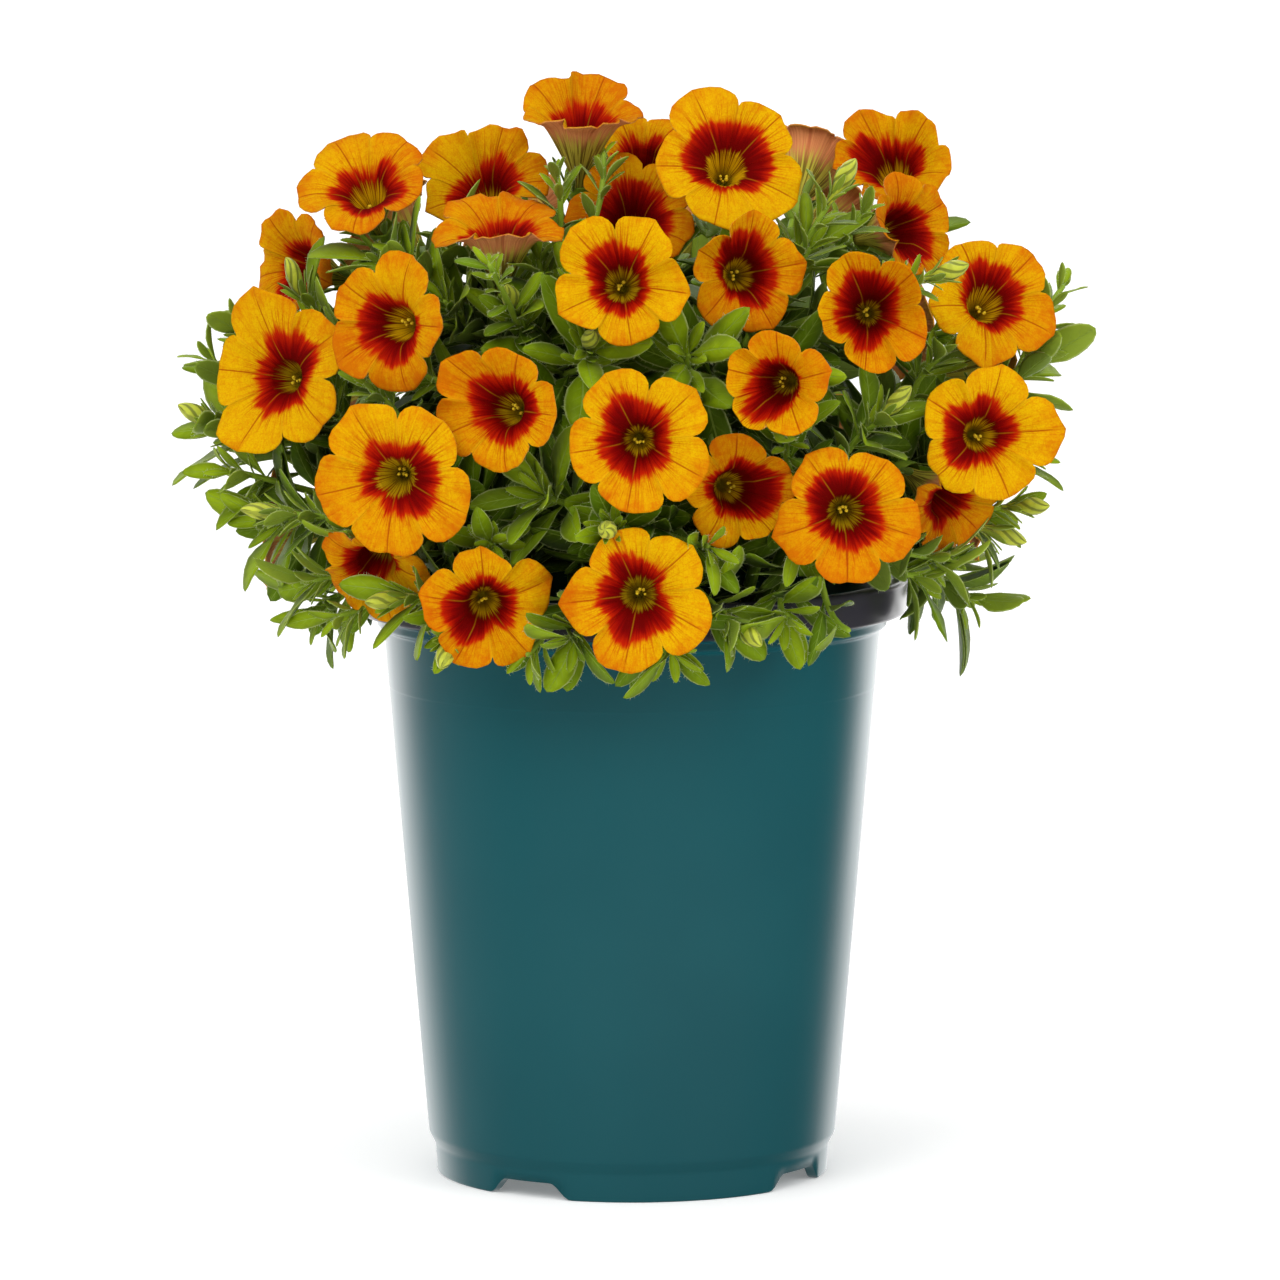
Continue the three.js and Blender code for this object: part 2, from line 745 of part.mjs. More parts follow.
const candidates = [];
blooms.forEach((frame, i) => {
  const base = along(frame.centre, frame.facing, -CALYX.depth);
  const stem = nearestStem(stems, base);
  const branch = clearBranch(stem, (bow, turn) => {
    const rod = branchRod(stem, base, frame.facing, bow, turn, frame.side);
    return { rod, solid: stalkSolid(frame, rod), loose: stalkSolid(frame, rod, CLEARANCE) };
  });
  if (!branch) throw new Error(`the stalk of bloom ${i + 1} has no room`);
  stem.parts.push(branch.solid);
  place(stem, branch.solid);
  const leaves = leavesAlong(branch.rod, { ...STALK_LEAVES, seed: 3000 + i });
  leaves.forEach((leaf) => candidates.push({ stem, leaf, bearer: branch.solid, rank: 2 }));
});

const shoots = FRONT_SHOOTS.map(([x, y, z, count, length]) => ({ tip: point(x, y, z), count, length }));
for (const row of BACK_SHOOT_ROWS) {
  for (let i = 0; i < row.count; i += 1) {
    const random = seeded(1500 + shoots.length);
    const turn = row.from + ((row.to - row.from) * i) / (row.count - 1) + (random() - 0.5) * 10;
    const tip = outward(turn).multiplyScalar(row.out + (random() - 0.5) * 8);
    tip.setZ(row.z + (random() - 0.5) * 12);
    shoots.push({ tip, count: row.leaves, length: row.length });
  }
}
shoots.forEach(({ tip, count, length }, i) => {
  const budded = i % BUD.every === 0;
  const stem = nearestStem(stems, tip);
  const arrival = tip.clone().sub(CROWN).normalize();
  let branch = null;
  for (const reach of SHOOT.reaches) {
    const end = CROWN.clone().lerp(tip, reach);
    branch ??= clearBranch(stem, (bow, turn) => {
      const rod = branchRod(stem, end, arrival, bow, turn);
      return { rod, solid: shootSolid(rod, budded), loose: shootSolid(rod, budded, CLEARANCE) };
    });
  }
  if (!branch) throw new Error(`shoot ${i + 1} has no room`);
  stem.parts.push(branch.solid);
  place(stem, branch.solid);
  const tuft = leavesAlong(branch.rod, { ...TUFT_LEAVES, count, length, seed: 4000 + i });
  tuft.forEach((leaf) => candidates.push({ stem, leaf, bearer: branch.solid, rank: 1 }));
});

for (const stem of stems) {
  const leaves = leavesAlong(stem.axis, { ...STEM_LEAVES, seed: 5000 + stem.index });
  leaves.forEach((leaf) => candidates.push({ stem, leaf, bearer: stem.parts[0], rank: 3 }));
}

candidates.sort((a, b) => a.rank - b.rank);
let leafCount = 0;
for (const { stem, leaf, bearer } of candidates) {
  if (leafCount < LEAF_LIMIT && insideEnvelope(leafTip(leaf)) && clearOf(stem, leafSolid(leaf, CLEARANCE))) {
    const solid = leafSolid(leaf);
    if (stem.parts.some((other) => other !== bearer && !other.intersect(solid).isEmpty())) continue;
    stem.parts.push(solid);
    place(stem, solid);
    leafCount += 1;
  }
}

for (const stem of stems) {
  const solid = wasm.Manifold.union(stem.parts).simplify(SIMPLIFY);
  calibrachoa.add(meshFrom(numbered("leafy_stem", stem.index), solid, GREEN));
}

export default calibrachoa;
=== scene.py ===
"""A calibrachoa in full flower in a glossy round nursery pot.

Sizes are in millimetres and turned into metres as a mesh is made. Turns are
measured from the front (-Y) towards +X. The stems, blooms and leaves repeat
the seeded rules that the solids were grown by, so each fine piece stands in
the place of its own solid.
"""

import json
import logging
import math
from dataclasses import dataclass, field
from enum import Enum
from typing import Callable, Iterable, NamedTuple, Sequence

import bpy
import numpy as np
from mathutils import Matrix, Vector
from mathutils.bvhtree import BVHTree

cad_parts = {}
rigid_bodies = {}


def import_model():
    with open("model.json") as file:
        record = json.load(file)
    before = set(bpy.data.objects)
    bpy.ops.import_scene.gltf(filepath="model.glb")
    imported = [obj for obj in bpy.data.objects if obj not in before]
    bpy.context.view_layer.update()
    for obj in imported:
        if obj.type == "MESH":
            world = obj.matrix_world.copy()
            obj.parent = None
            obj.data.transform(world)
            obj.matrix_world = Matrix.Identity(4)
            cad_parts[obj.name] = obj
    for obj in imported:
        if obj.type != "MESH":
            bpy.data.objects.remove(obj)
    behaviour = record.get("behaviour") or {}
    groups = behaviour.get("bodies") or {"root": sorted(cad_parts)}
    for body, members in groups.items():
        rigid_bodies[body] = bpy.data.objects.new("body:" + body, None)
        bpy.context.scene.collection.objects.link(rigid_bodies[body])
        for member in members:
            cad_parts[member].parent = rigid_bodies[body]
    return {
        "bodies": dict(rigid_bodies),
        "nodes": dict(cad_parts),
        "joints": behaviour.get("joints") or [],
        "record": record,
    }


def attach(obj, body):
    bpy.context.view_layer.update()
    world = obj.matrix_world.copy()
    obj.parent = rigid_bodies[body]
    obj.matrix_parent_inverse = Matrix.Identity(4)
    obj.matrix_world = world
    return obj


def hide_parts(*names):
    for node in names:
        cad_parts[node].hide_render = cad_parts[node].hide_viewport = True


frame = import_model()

log = logging.getLogger("calibrachoa")

Array = np.ndarray
Random = np.random.Generator
Material = bpy.types.Material
Object = bpy.types.Object

METRE = 0.001
BODY = "root"
GOLDEN_TURN = 137.5
WHITE = (1.0, 1.0, 1.0, 1.0)


# ---- vectors


def unit(vectors: Array) -> Array:
    """Vectors scaled to length 1."""
    return vectors / np.maximum(np.linalg.norm(vectors, axis=-1, keepdims=True), 1e-12)


def outward(turn: float) -> Array:
    """The level direction at a turn from the front."""
    return np.array([math.sin(math.radians(turn)), -math.cos(math.radians(turn)), 0.0])


def heading(turn: float, rise: float) -> Array:
    """The direction at a turn from the front and a rise above level."""
    level = outward(turn) * math.cos(math.radians(rise))
    return level + np.array([0, 0, math.sin(math.radians(rise))])


LEANING_AXIS = np.array([0.6, 0.64, -0.48])
EAST = np.array([1.0, 0, 0])
NORTH = np.array([0, 1.0, 0])


def around(direction: Array, degrees: float) -> Array:
    """A direction square to another one, at an angle round it."""
    side = unit(np.cross(direction, LEANING_AXIS))
    up = unit(np.cross(side, direction))
    return side * math.cos(math.radians(degrees)) + up * math.sin(math.radians(degrees))


def spread(axis: Array, away: Array, lean: float) -> tuple[Array, Array]:
    """A direction that leans from an axis, and the one square to it that faces the axis."""
    return (
        axis * math.cos(lean) + away * math.sin(lean),
        unit(axis * math.sin(lean) - away * math.cos(lean)),
    )


def smooth(values: Array, low: float, high: float) -> Array:
    """0 below low, 1 above high and an S curve between them."""
    part = np.clip((values - low) / (high - low), 0, 1)
    return part * part * (3 - 2 * part)


def flowing(points: Sequence[Sequence[float]], samples: int) -> Array:
    """A smooth curve through points, one cubic between each two.

    Each cubic passes its two points with the slope between their neighbours.

    Args:
        points: the points to pass, of any dimension.
        samples: how many points to give back, evenly spread over the cubics.

    Returns:
        The points on the curve.
    """
    knots = np.asarray(points, float)
    padded = np.vstack([2 * knots[0] - knots[1], knots, 2 * knots[-1] - knots[-2]])
    place = np.linspace(0, len(knots) - 1, samples)
    piece = np.minimum(place.astype(int), len(knots) - 2)
    t = (place - piece)[:, None]
    a, b, c, d = (padded[piece + k] for k in range(4))
    return 0.5 * (2 * b + (c - a) * t + (2 * a - 5 * b + 4 * c - d) * t**2 + (3 * b - a - 3 * c + d) * t**3)


class Draws:
    """Repeatable numbers from 0 to 1, the same ones that the solids used."""

    MASK = 0xFFFFFFFF

    def __init__(self, seed: int) -> None:
        """Starts the row of numbers at a seed."""
        self.state = seed & self.MASK

    def __call__(self) -> float:
        """The next number."""
        self.state = (self.state + 0x6D2B79F5) & self.MASK
        mix = ((self.state ^ (self.state >> 15)) * (1 | self.state)) & self.MASK
        mix = ((mix + (((mix ^ (mix >> 7)) * (61 | mix)) & self.MASK)) & self.MASK) ^ mix
        return (mix ^ (mix >> 14)) / (self.MASK + 1)

    def about(self, width: float) -> float:
        """A number up to half the width to either side of 0."""
        return (self() - 0.5) * width

    def within(self, low: float, width: float) -> float:
        """A number from low to low + width."""
        return low + width * self()


# ---- meshes


@dataclass
class Skins:
    """Closed skins of one pattern: rings of points between two end points.

    Attributes:
        rings: the points, as copies x rings x points of a ring x 3, in mm.
        start: the end point before the first ring of each copy.
        end: the end point after the last ring of each copy.
        marks: named numbers on the ring points, as copies x rings x points or
            as anything that spreads to that shape.
        paint: which of the object's finishes the skins wear.
    """

    rings: Array
    start: Array
    end: Array
    marks: dict[str, float | Sequence[float] | Array] = field(default_factory=dict)
    paint: int = 0

    def points(self) -> Array:
        """All points of every copy: its start, its rings and its end."""
        copies = len(self.rings)
        body = self.rings.reshape(copies, -1, 3)
        return np.concatenate([self.start[:, None], body, self.end[:, None]], axis=1)

    def mark(self, name: str) -> Array:
        """One named number at all points, with the rings' means at the ends."""
        copies, rings, sides = self.rings.shape[:3]
        if name not in self.marks:
            return np.zeros((copies, rings * sides + 2))
        values = np.broadcast_to(self.marks[name], (copies, rings, sides))
        ends = values[:, [0, -1]].mean(axis=2)
        return np.concatenate([ends[:, :1], values.reshape(copies, -1), ends[:, 1:]], axis=1)

    def faces(self) -> tuple[Array, Array]:
        """The corner numbers of one copy's faces.

        Quads join each ring to the next, and fans join the end rings to the
        end points. All face outwards on the first copy.

        Returns:
            The triangles and the quads.
        """
        _, rings, sides = self.rings.shape[:3]
        here = np.arange(sides)
        there = (here + 1) % sides
        row = 1 + sides * np.arange(rings - 1)[:, None]
        quads = np.stack([row + here, row + there, row + sides + there, row + sides + here], axis=-1)
        last = 1 + sides * (rings - 1)
        low = np.stack([np.zeros(sides, int), 1 + there, 1 + here], axis=-1)
        high = np.stack([np.full(sides, last + sides), last + here, last + there], axis=-1)
        triangles, quads = np.concatenate([low, high]), quads.reshape(-1, 4)
        points = self.points()[0]
        split = np.concatenate([triangles, quads[:, [0, 1, 2]], quads[:, [0, 2, 3]]])
        a, b, c = (points[split[:, k]] for k in range(3))
        if np.einsum("ij,ij->", a, np.cross(b, c)) < 0:
            return triangles[:, ::-1], quads[:, ::-1]
        return triangles, quads


def add_object(name: str, data: bpy.types.ID) -> Object:
    """A new object of the scene."""
    made = bpy.data.objects.new(name, data)
    bpy.context.scene.collection.objects.link(made)
    return made


def make_piece(name: str, skins: Iterable[Skins], finishes: Sequence[Material]) -> Object:
    """One object from groups of closed skins.

    Args:
        name: the piece's name.
        skins: the groups, each with its finish number and its marks.
        finishes: the materials that the finish numbers name.

    Returns:
        The object, at the origin, riding on the part's body.
    """
    points, corners, sizes, paints = [], [], [], []
    marks: dict[str, list[Array]] = {}
    groups = [group for group in skins if len(group.rings)]
    names = sorted({mark for group in groups for mark in group.marks})
    offset = 0
    for group in groups:
        body = group.points()
        copies, each = body.shape[:2]
        points.append(body.reshape(-1, 3))
        for mark in names:
            marks.setdefault(mark, []).append(group.mark(mark).ravel())
        starts = offset + each * np.arange(copies)[:, None, None]
        for faces in group.faces():
            corners.append((faces[None] + starts).ravel())
            sizes.append(np.full(copies * len(faces), faces.shape[1]))
            paints.append(np.full(copies * len(faces), group.paint))
        offset += copies * each
    mesh = bpy.data.meshes.new(name)
    size = np.concatenate(sizes)
    mesh.vertices.add(offset)
    mesh.vertices.foreach_set("co", (np.concatenate(points) * METRE).astype(np.float32).ravel())
    mesh.loops.add(int(size.sum()))
    mesh.loops.foreach_set("vertex_index", np.concatenate(corners).astype(np.int32))
    mesh.polygons.add(len(size))
    mesh.polygons.foreach_set("loop_start", (np.cumsum(size) - size).astype(np.int32))
    mesh.polygons.foreach_set("material_index", np.concatenate(paints).astype(np.int32))
    mesh.polygons.foreach_set("use_smooth", np.ones(len(size), bool))
    for mark, values in marks.items():
        attribute = mesh.attributes.new(mark, "FLOAT", "POINT")
        attribute.data.foreach_set("value", np.concatenate(values).astype(np.float32))
    for finish in finishes:
        mesh.materials.append(finish)
    mesh.update(calc_edges=True)
    mesh.validate()
    piece = add_object(name, mesh)
    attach(piece, BODY)
    log.info("%s: %d points, %d faces", name, offset, len(size))
    return piece


def tube_rings(centres: Array, sides: Array, ups: Array, radii: Array, count: int) -> Array:
    """Rings square to paths: centre + radius (side cos + up sin).

    Args:
        centres: copies x rings x 3.
        sides: the direction of each ring's first point, or one for all.
        ups: the direction a quarter turn on, or one for all.
        radii: copies x rings, or a shape that spreads to it.
        count: points of a ring.

    Returns:
        Copies x rings x points x 3.
    """
    angle = 2 * np.pi * np.arange(count) / count
    reach = sides[..., None, :] * np.cos(angle)[:, None] + ups[..., None, :] * np.sin(angle)[:, None]
    return centres[..., None, :] + np.broadcast_to(radii, centres.shape[:2])[..., None, None] * reach


# ---- materials


Socket = bpy.types.NodeSocket
Value = Socket | float | Sequence[float]


def srgb(red: float, green: float, blue: float) -> tuple[float, float, float, float]:
    """A colour given as a screen shows it, 0 to 255, as light."""
    light = [((c / 255 + 0.055) / 1.055) ** 2.4 if c > 10 else c / 3294.6 for c in (red, green, blue)]
    return (*light, 1.0)


class Graph:
    """Short words for the nodes of a material or of a node group."""

    def __init__(self, tree: bpy.types.NodeTree) -> None:
        """Works on one node tree."""
        self.tree = tree

    def feed(self, socket: Socket, value: Value) -> None:
        """Links a socket or sets its value."""
        if isinstance(value, Socket):
            self.tree.links.new(value, socket)
        else:
            socket.default_value = value

    def wire(self, made: bpy.types.Node, **inputs: Value) -> bpy.types.Node:
        """Links or sets a node's inputs, named as its sockets with _ for a space."""
        for key, value in inputs.items():
            self.feed(made.inputs[key.replace("_", " ")], value)
        return made

    def node(self, kind: str, settings: dict | None = None, **inputs: Value) -> bpy.types.Node:
        """A node of a kind.

        Args:
            kind: the node's type name without its prefix.
            settings: the node's own properties.
            **inputs: the sockets to link or to set, with _ for a space.

        Returns:
            The node.
        """
        made = self.tree.nodes.new("ShaderNode" + kind)
        for key, value in (settings or {}).items():
            setattr(made, key, value)
        return self.wire(made, **inputs)

    def numbered(self, kind: str, settings: dict, values: dict[int, Value]) -> bpy.types.NodeOutputs:
        """The outputs of a node whose inputs go by their numbers."""
        made = self.node(kind, settings)
        for number, value in values.items():
            self.feed(made.inputs[number], value)
        return made.outputs

    def math(self, operation: str, *values: Value, clamp: bool = False) -> Socket:
        """An operation on numbers, held between 0 and 1 where clamp is set."""
        settings = {"operation": operation, "use_clamp": clamp}
        return self.numbered("Math", settings, dict(enumerate(values)))[0]

    def times(self, first: Value, second: Value) -> Socket:
        """The product of two numbers."""
        return self.math("MULTIPLY", first, second)

    def plus(self, first: Value, second: Value, clamp: bool = False) -> Socket:
        """The sum of two numbers."""
        return self.math("ADD", first, second, clamp=clamp)

    def less(self, first: Value, second: Value) -> Socket:
        """The first number less the second one."""
        return self.math("SUBTRACT", first, second)

    def size(self, value: Value) -> Socket:
        """A number without its sign."""
        return self.math("ABSOLUTE", value)

    def mix(self, part: Value, first: Value, second: Value) -> Socket:
        """A colour between two."""
        return self.numbered("Mix", {"data_type": "RGBA"}, {0: part, 6: first, 7: second})[2]

    def between(self, part: Value, first: Value, second: Value) -> Socket:
        """A number between two."""
        return self.numbered("Mix", {"data_type": "FLOAT"}, {0: part, 2: first, 3: second})[0]

    def rise(self, value: Value, low: float, high: float, floor: float = 0, top: float = 1) -> Socket:
        """A smooth step: the floor up to low, the top from high on."""
        settings = {"interpolation_type": "SMOOTHSTEP"}
        return self.numbered("MapRange", settings, dict(enumerate((value, low, high, floor, top))))[0]

    def mark(self, name: str) -> Socket:
        """A named number of the mesh."""
        return self.node("Attribute", {"attribute_name": name}).outputs["Fac"]

    def spot(self, x: Value, y: Value, z: Value) -> Socket:
        """A vector of three numbers."""
        return self.node("CombineXYZ", X=x, Y=y, Z=z).outputs[0]

    def place(self) -> Socket:
        """The place on the object, in metres."""
        return self.node("TexCoord").outputs["Object"]

    def noise(self, vector: Value, scale: Value, detail: float) -> Socket:
        """Cloudy numbers round 0.5."""
        return self.node("TexNoise", Vector=vector, Scale=scale, Detail=detail).outputs["Fac"]

    def clouds(self, scale: Value, detail: float) -> Socket:
        """Cloudy numbers on the object's own place."""
        return self.noise(self.place(), scale, detail)

    def group(self, made: bpy.types.NodeTree, **inputs: Value) -> Socket:
        """The first output of a shared group."""
        return self.node("Group", {"node_tree": made}, **inputs).outputs[0]

    def bump(self, height: Value, distance: float, strength: float = 1) -> Socket:
        """A normal from a height in units of the distance, in metres."""
        return self.node("Bump", Height=height, Distance=distance, Strength=strength).outputs[0]


def shared_group(name: str, output: str, inputs: dict[str, str], fill: Callable) -> bpy.types.NodeTree:
    """A node group with named inputs and one named output.

    Args:
        name: the group's name.
        output: the output's name, with Color in it where it is a colour.
        inputs: the inputs' names and socket kinds.
        fill: makes the nodes; gets the graph and the inputs' outputs by name.

    Returns:
        The group.
    """
    tree = bpy.data.node_groups.new(name, "ShaderNodeTree")
    for key, kind in inputs.items():
        tree.interface.new_socket(key, in_out="INPUT", socket_type="NodeSocket" + kind)
    kind = "Color" if "Color" in output else "Float"
    tree.interface.new_socket(output, in_out="OUTPUT", socket_type="NodeSocket" + kind)
    source = tree.nodes.new("NodeGroupInput")
    sink = tree.nodes.new("NodeGroupOutput")
    tree.links.new(fill(Graph(tree), source.outputs), sink.inputs[0])
    return tree


class Effects:
    """The effects that several finishes share, each built once."""

    def __init__(self) -> None:
        """Builds the groups."""
        self.drift = shared_group(
            "tone drift", "Color",
            {"Color": "Color", "Other Color": "Color", "Amount": "Float", "Scale": "Float"},
            self.fill_drift,
        )
        self.streaks = shared_group(
            "ray streaks", "Streak",
            dict.fromkeys(("Turn X", "Turn Y", "Reach", "Fineness"), "Float"),
            self.fill_streaks,
        )
        self.grain = shared_group(
            "fine grain", "Height", {"Scale": "Float", "Share": "Float"}, self.fill_grain)

    @staticmethod
    def fill_drift(graph: Graph, given: bpy.types.NodeOutputs) -> Socket:
        """A colour that drifts to another one in soft clouds."""
        part = graph.times(graph.rise(graph.clouds(given["Scale"], 3), 0.35, 0.68), given["Amount"])
        return graph.mix(part, given["Color"], given["Other Color"])

    @staticmethod
    def fill_streaks(graph: Graph, given: bpy.types.NodeOutputs) -> Socket:
        """Cloudy numbers that change fast round a bloom and slowly out along it."""
        across = [graph.times(given[key], given["Fineness"]) for key in ("Turn X", "Turn Y")]
        return graph.noise(graph.spot(*across, graph.times(given["Reach"], 1.6)), 1.0, 3)

    @staticmethod
    def fill_grain(graph: Graph, given: bpy.types.NodeOutputs) -> Socket:
        """Fine pebbles under broad soft swells."""
        fine = graph.clouds(given["Scale"], 2)
        return graph.plus(graph.times(fine, given["Share"]), graph.clouds(90.0, 2))


class Paint(Graph):
    """A new material, with short words for its shader and for the shared effects."""

    def __init__(self, effects: Effects, name: str, **constants: Value) -> None:
        """Makes the material.

        Args:
            effects: the shared groups.
            name: the material's name.
            **constants: shader sockets, with _ for a space, and their values.
        """
        self.effects = effects
        self.material = bpy.data.materials.new(name)
        self.material.use_nodes = True
        super().__init__(self.material.node_tree)
        self.wire(self.tree.nodes["Principled BSDF"], **constants)

    def drift(self, colour: Value, other: Value, amount: float, scale: float) -> Socket:
        """A colour that drifts by an amount to another one, in clouds of a scale."""
        return self.group(self.effects.drift, Color=colour, Other_Color=other, Amount=amount, Scale=scale)

    def grain(self, scale: float, share: float) -> Socket:
        """The height of fine pebbles of a scale and a share, under broad swells."""
        return self.group(self.effects.grain, Scale=scale, Share=share)

    def done(self, **inputs: Value) -> Material:
        """The material, once the last of the shader's sockets are linked."""
        self.wire(self.tree.nodes["Principled BSDF"], **inputs)
        return self.material


@dataclass(frozen=True)
class Finish:
    """A finish: its colours and sizes, and how they make a material.

    The four numbers of each step in a finish are where it begins, where it
    ends, its share below and its share above.
    """

    effects: Effects

    def material(self) -> Material:
        """Builds the material."""
        raise NotImplementedError


@dataclass(frozen=True)
class Petal:
    """Where a point is on a petal, and the clouds there.

    Attributes:
        reach: how far out, as a share of the bloom's radius.
        rib, crease: how far from the lobe's middle and from a notch's line.
        edge: the reach, frayed and stained, by which the red ends.
        coarse, fine, hair: streaks that run outwards, ever closer.
    """

    reach: Socket
    rib: Socket
    crease: Socket
    edge: Socket
    coarse: Socket
    fine: Socket
    hair: Socket


@dataclass(frozen=True)
class PetalFinish(Finish):
    """Yellow-orange petals with a ragged red centre, dark ribs and a net of veins.

    Attributes:
        red_reach: where the red ends, as a share of the radius.
        throat_reach: where the yellow throat ends.
        fineness: how close the four kinds of streaks are, broad ones first.
        fraying: how far each kind moves the end of the red.
    """

    yellow: tuple = srgb(206, 161, 0)
    orange: tuple = srgb(191, 105, 0)
    speckle: tuple = srgb(190, 88, 0)
    blush: tuple = srgb(176, 62, 0)
    vein: tuple = srgb(172, 58, 0)
    red: tuple = srgb(140, 3, 0)
    bright_red: tuple = srgb(182, 34, 0)
    dark_red: tuple = srgb(88, 0, 0)
    rib: tuple = srgb(146, 44, 0)
    # painted highlight on the fold in from each notch
    crease: tuple = srgb(218, 164, 14)
    throat: tuple = srgb(214, 168, 8)
    throat_line: tuple = srgb(104, 44, 0)
    # painted shade: the darker colour of the throat's depths and of throats that face away from the light
    throat_painted_shade: tuple = srgb(150, 130, 12)
    back: tuple = srgb(222, 146, 92)
    back_vein: tuple = srgb(184, 98, 62)
    tube: tuple = srgb(190, 178, 66)
    tube_line: tuple = srgb(96, 80, 26)
    red_reach: float = 0.515
    throat_reach: float = 0.2
    fineness: tuple = (1.1, 3.2, 11.0, 30.0)
    fraying: tuple = (0.34, 0.22, 0.24, 0.14)

    def material(self) -> Material:
        """Builds the material on the marks that a corolla's skin carries.

        Returns:
            The material.
        """
        paint = Paint(self.effects, "petal", Roughness=0.75, Specular_IOR_Level=0.035)
        reach = paint.mark("reach")
        ray = {
            "Turn_X": paint.mark("ray_x"),
            "Turn_Y": paint.mark("ray_y"),
            "Reach": paint.plus(reach, paint.mark("number")),
        }
        clouds = [paint.group(self.effects.streaks, Fineness=fineness, **ray) for fineness in self.fineness]
        edge = paint.less(self.shifted(paint, reach, zip(clouds, self.fraying)), paint.mark("stain"))
        at = Petal(reach, paint.mark("rib"), paint.mark("crease"), edge, *clouds[1:])
        blade = self.ribs(paint, at, self.net(paint, at, self.blade(paint, at)))
        red = paint.rise(edge, self.red_reach - 0.05, self.red_reach + 0.06, 1, 0)
        front = self.throat_walls(paint, at, paint.mix(red, blade, self.centre(paint, at)))
        groove = paint.rise(paint.size(at.rib), 0, 0.9, 0, 0.7)
        height = paint.plus(paint.plus(paint.times(at.hair, 0.9), groove), paint.grain(2600.0, 0.35))
        return paint.done(
            Base_Color=paint.mix(paint.mark("face"), self.behind(paint, at), front),
            Normal=paint.bump(height, 0.00022, 0.85),
        )

    @staticmethod
    def shifted(paint: Paint, reach: Value, clouds: Iterable[tuple[Value, float]]) -> Socket:
        """The reach, moved in and out by clouds that go round the bloom."""
        for cloud, amount in clouds:
            reach = paint.plus(reach, paint.times(paint.less(cloud, 0.5), amount))
        return reach

    def blade(self, paint: Paint, at: Petal) -> Socket:
        """Orange towards the margin, yellow nearer the red, streaked, speckled and blushed.

        Args:
            paint: the material.
            at: the place on the petal.

        Returns:
            The colour.
        """
        out = self.shifted(paint, at.reach, ((at.coarse, 0.9), (at.hair, 0.5)))
        orange = paint.plus(paint.rise(out, 0.6, 1.2, 0.0, 0.6), paint.mark("tone"), clamp=True)
        mottle = paint.rise(paint.clouds(650.0, 3), 0.4, 0.66, -0.08, 0.22)
        orange = paint.plus(orange, mottle, clamp=True)
        blots = paint.rise(paint.clouds(150.0, 3), 0.52, 0.74, 0, 0.42)
        blots = paint.times(blots, paint.rise(at.reach, 0.6, 0.95))
        blade = paint.mix(blots, paint.mix(orange, self.yellow, self.orange), self.blush)
        speckles = paint.rise(paint.clouds(2600.0, 3), 0.42, 0.7, 0, 0.3)
        return paint.mix(speckles, blade, self.speckle)

    def net(self, paint: Paint, at: Petal, blade: Value) -> Socket:
        """Fine red-brown veins, thick near the red and thin at the margin, in a faint net."""
        cells = paint.node("TexVoronoi", {"feature": "DISTANCE_TO_EDGE"}, Vector=paint.place(), Scale=850.0)
        lines = paint.rise(cells.outputs["Distance"], 0.0, 0.1, 0.14, 0.0)
        near = paint.rise(at.edge, self.red_reach, self.red_reach + 0.3, 0.7, 0.1)
        streaks = paint.times(paint.rise(at.hair, 0.5, 0.62), near)
        return paint.mix(paint.plus(lines, streaks, clamp=True), blade, self.vein)

    def ribs(self, paint: Paint, at: Petal, blade: Value) -> Socket:
        """One dark rib down each lobe, and a painted highlight: a pale line on the fold in from each notch.
        """
        wide = paint.math("MULTIPLY_ADD", at.reach, -0.14, 0.36)
        line = paint.rise(paint.math("DIVIDE", paint.size(at.rib), wide), 0.1, 1.0, 0.8, 0)
        line = paint.times(line, paint.rise(at.reach, 0.86, 1.0, 1, 0.3))
        fold = paint.rise(paint.size(at.crease), 0.0, 0.8, 0.4, 0.0)
        fold = paint.times(fold, paint.rise(at.reach, 0.45, 0.62))
        return paint.mix(line, paint.mix(fold, blade, self.crease), self.rib)

    def centre(self, paint: Paint, at: Petal) -> Socket:
        """Red, dark round the throat and bright where it frays, with a pale line on each rib."""
        lit = paint.rise(at.edge, self.red_reach - 0.2, self.red_reach + 0.05)
        dark = paint.rise(paint.plus(at.edge, paint.times(at.fine, 0.2)), 0.3, 0.6, 0.85, 0.0)
        lines = paint.rise(paint.size(at.rib), 0.02, 0.24, 0.2, 0.0)
        lines = paint.times(lines, paint.rise(at.edge, 0.28, 0.56, 1.0, 0.0))
        red = paint.mix(dark, paint.mix(lit, self.red, self.bright_red), self.dark_red)
        return paint.mix(lines, red, self.throat)

    def throat_walls(self, paint: Paint, at: Petal, front: Value) -> Socket:
        """Olive-yellow walls with red-brown lines from the red, with painted shade down the throat."""
        # Painted shade: the walls turn to the painted shade colour towards the bottom of the throat, and
        # more so on throats that face away from the light.
        lit = paint.times(paint.rise(at.reach, 0.03, 0.17), paint.mark("lit"))
        lines = paint.times(paint.rise(at.fine, 0.48, 0.6, 0.0, 0.8), paint.rise(at.reach, 0.05, 0.14))
        walls = paint.mix(lines, paint.mix(lit, self.throat_painted_shade, self.throat), self.throat_line)
        bored = paint.less(at.reach, paint.mark("bore"))
        limit = self.shifted(paint, bored, ((at.fine, 0.2), (at.hair, 0.1)))
        limit = paint.rise(limit, self.throat_reach - 0.045, self.throat_reach + 0.035, 1, 0)
        return paint.mix(limit, front, walls)

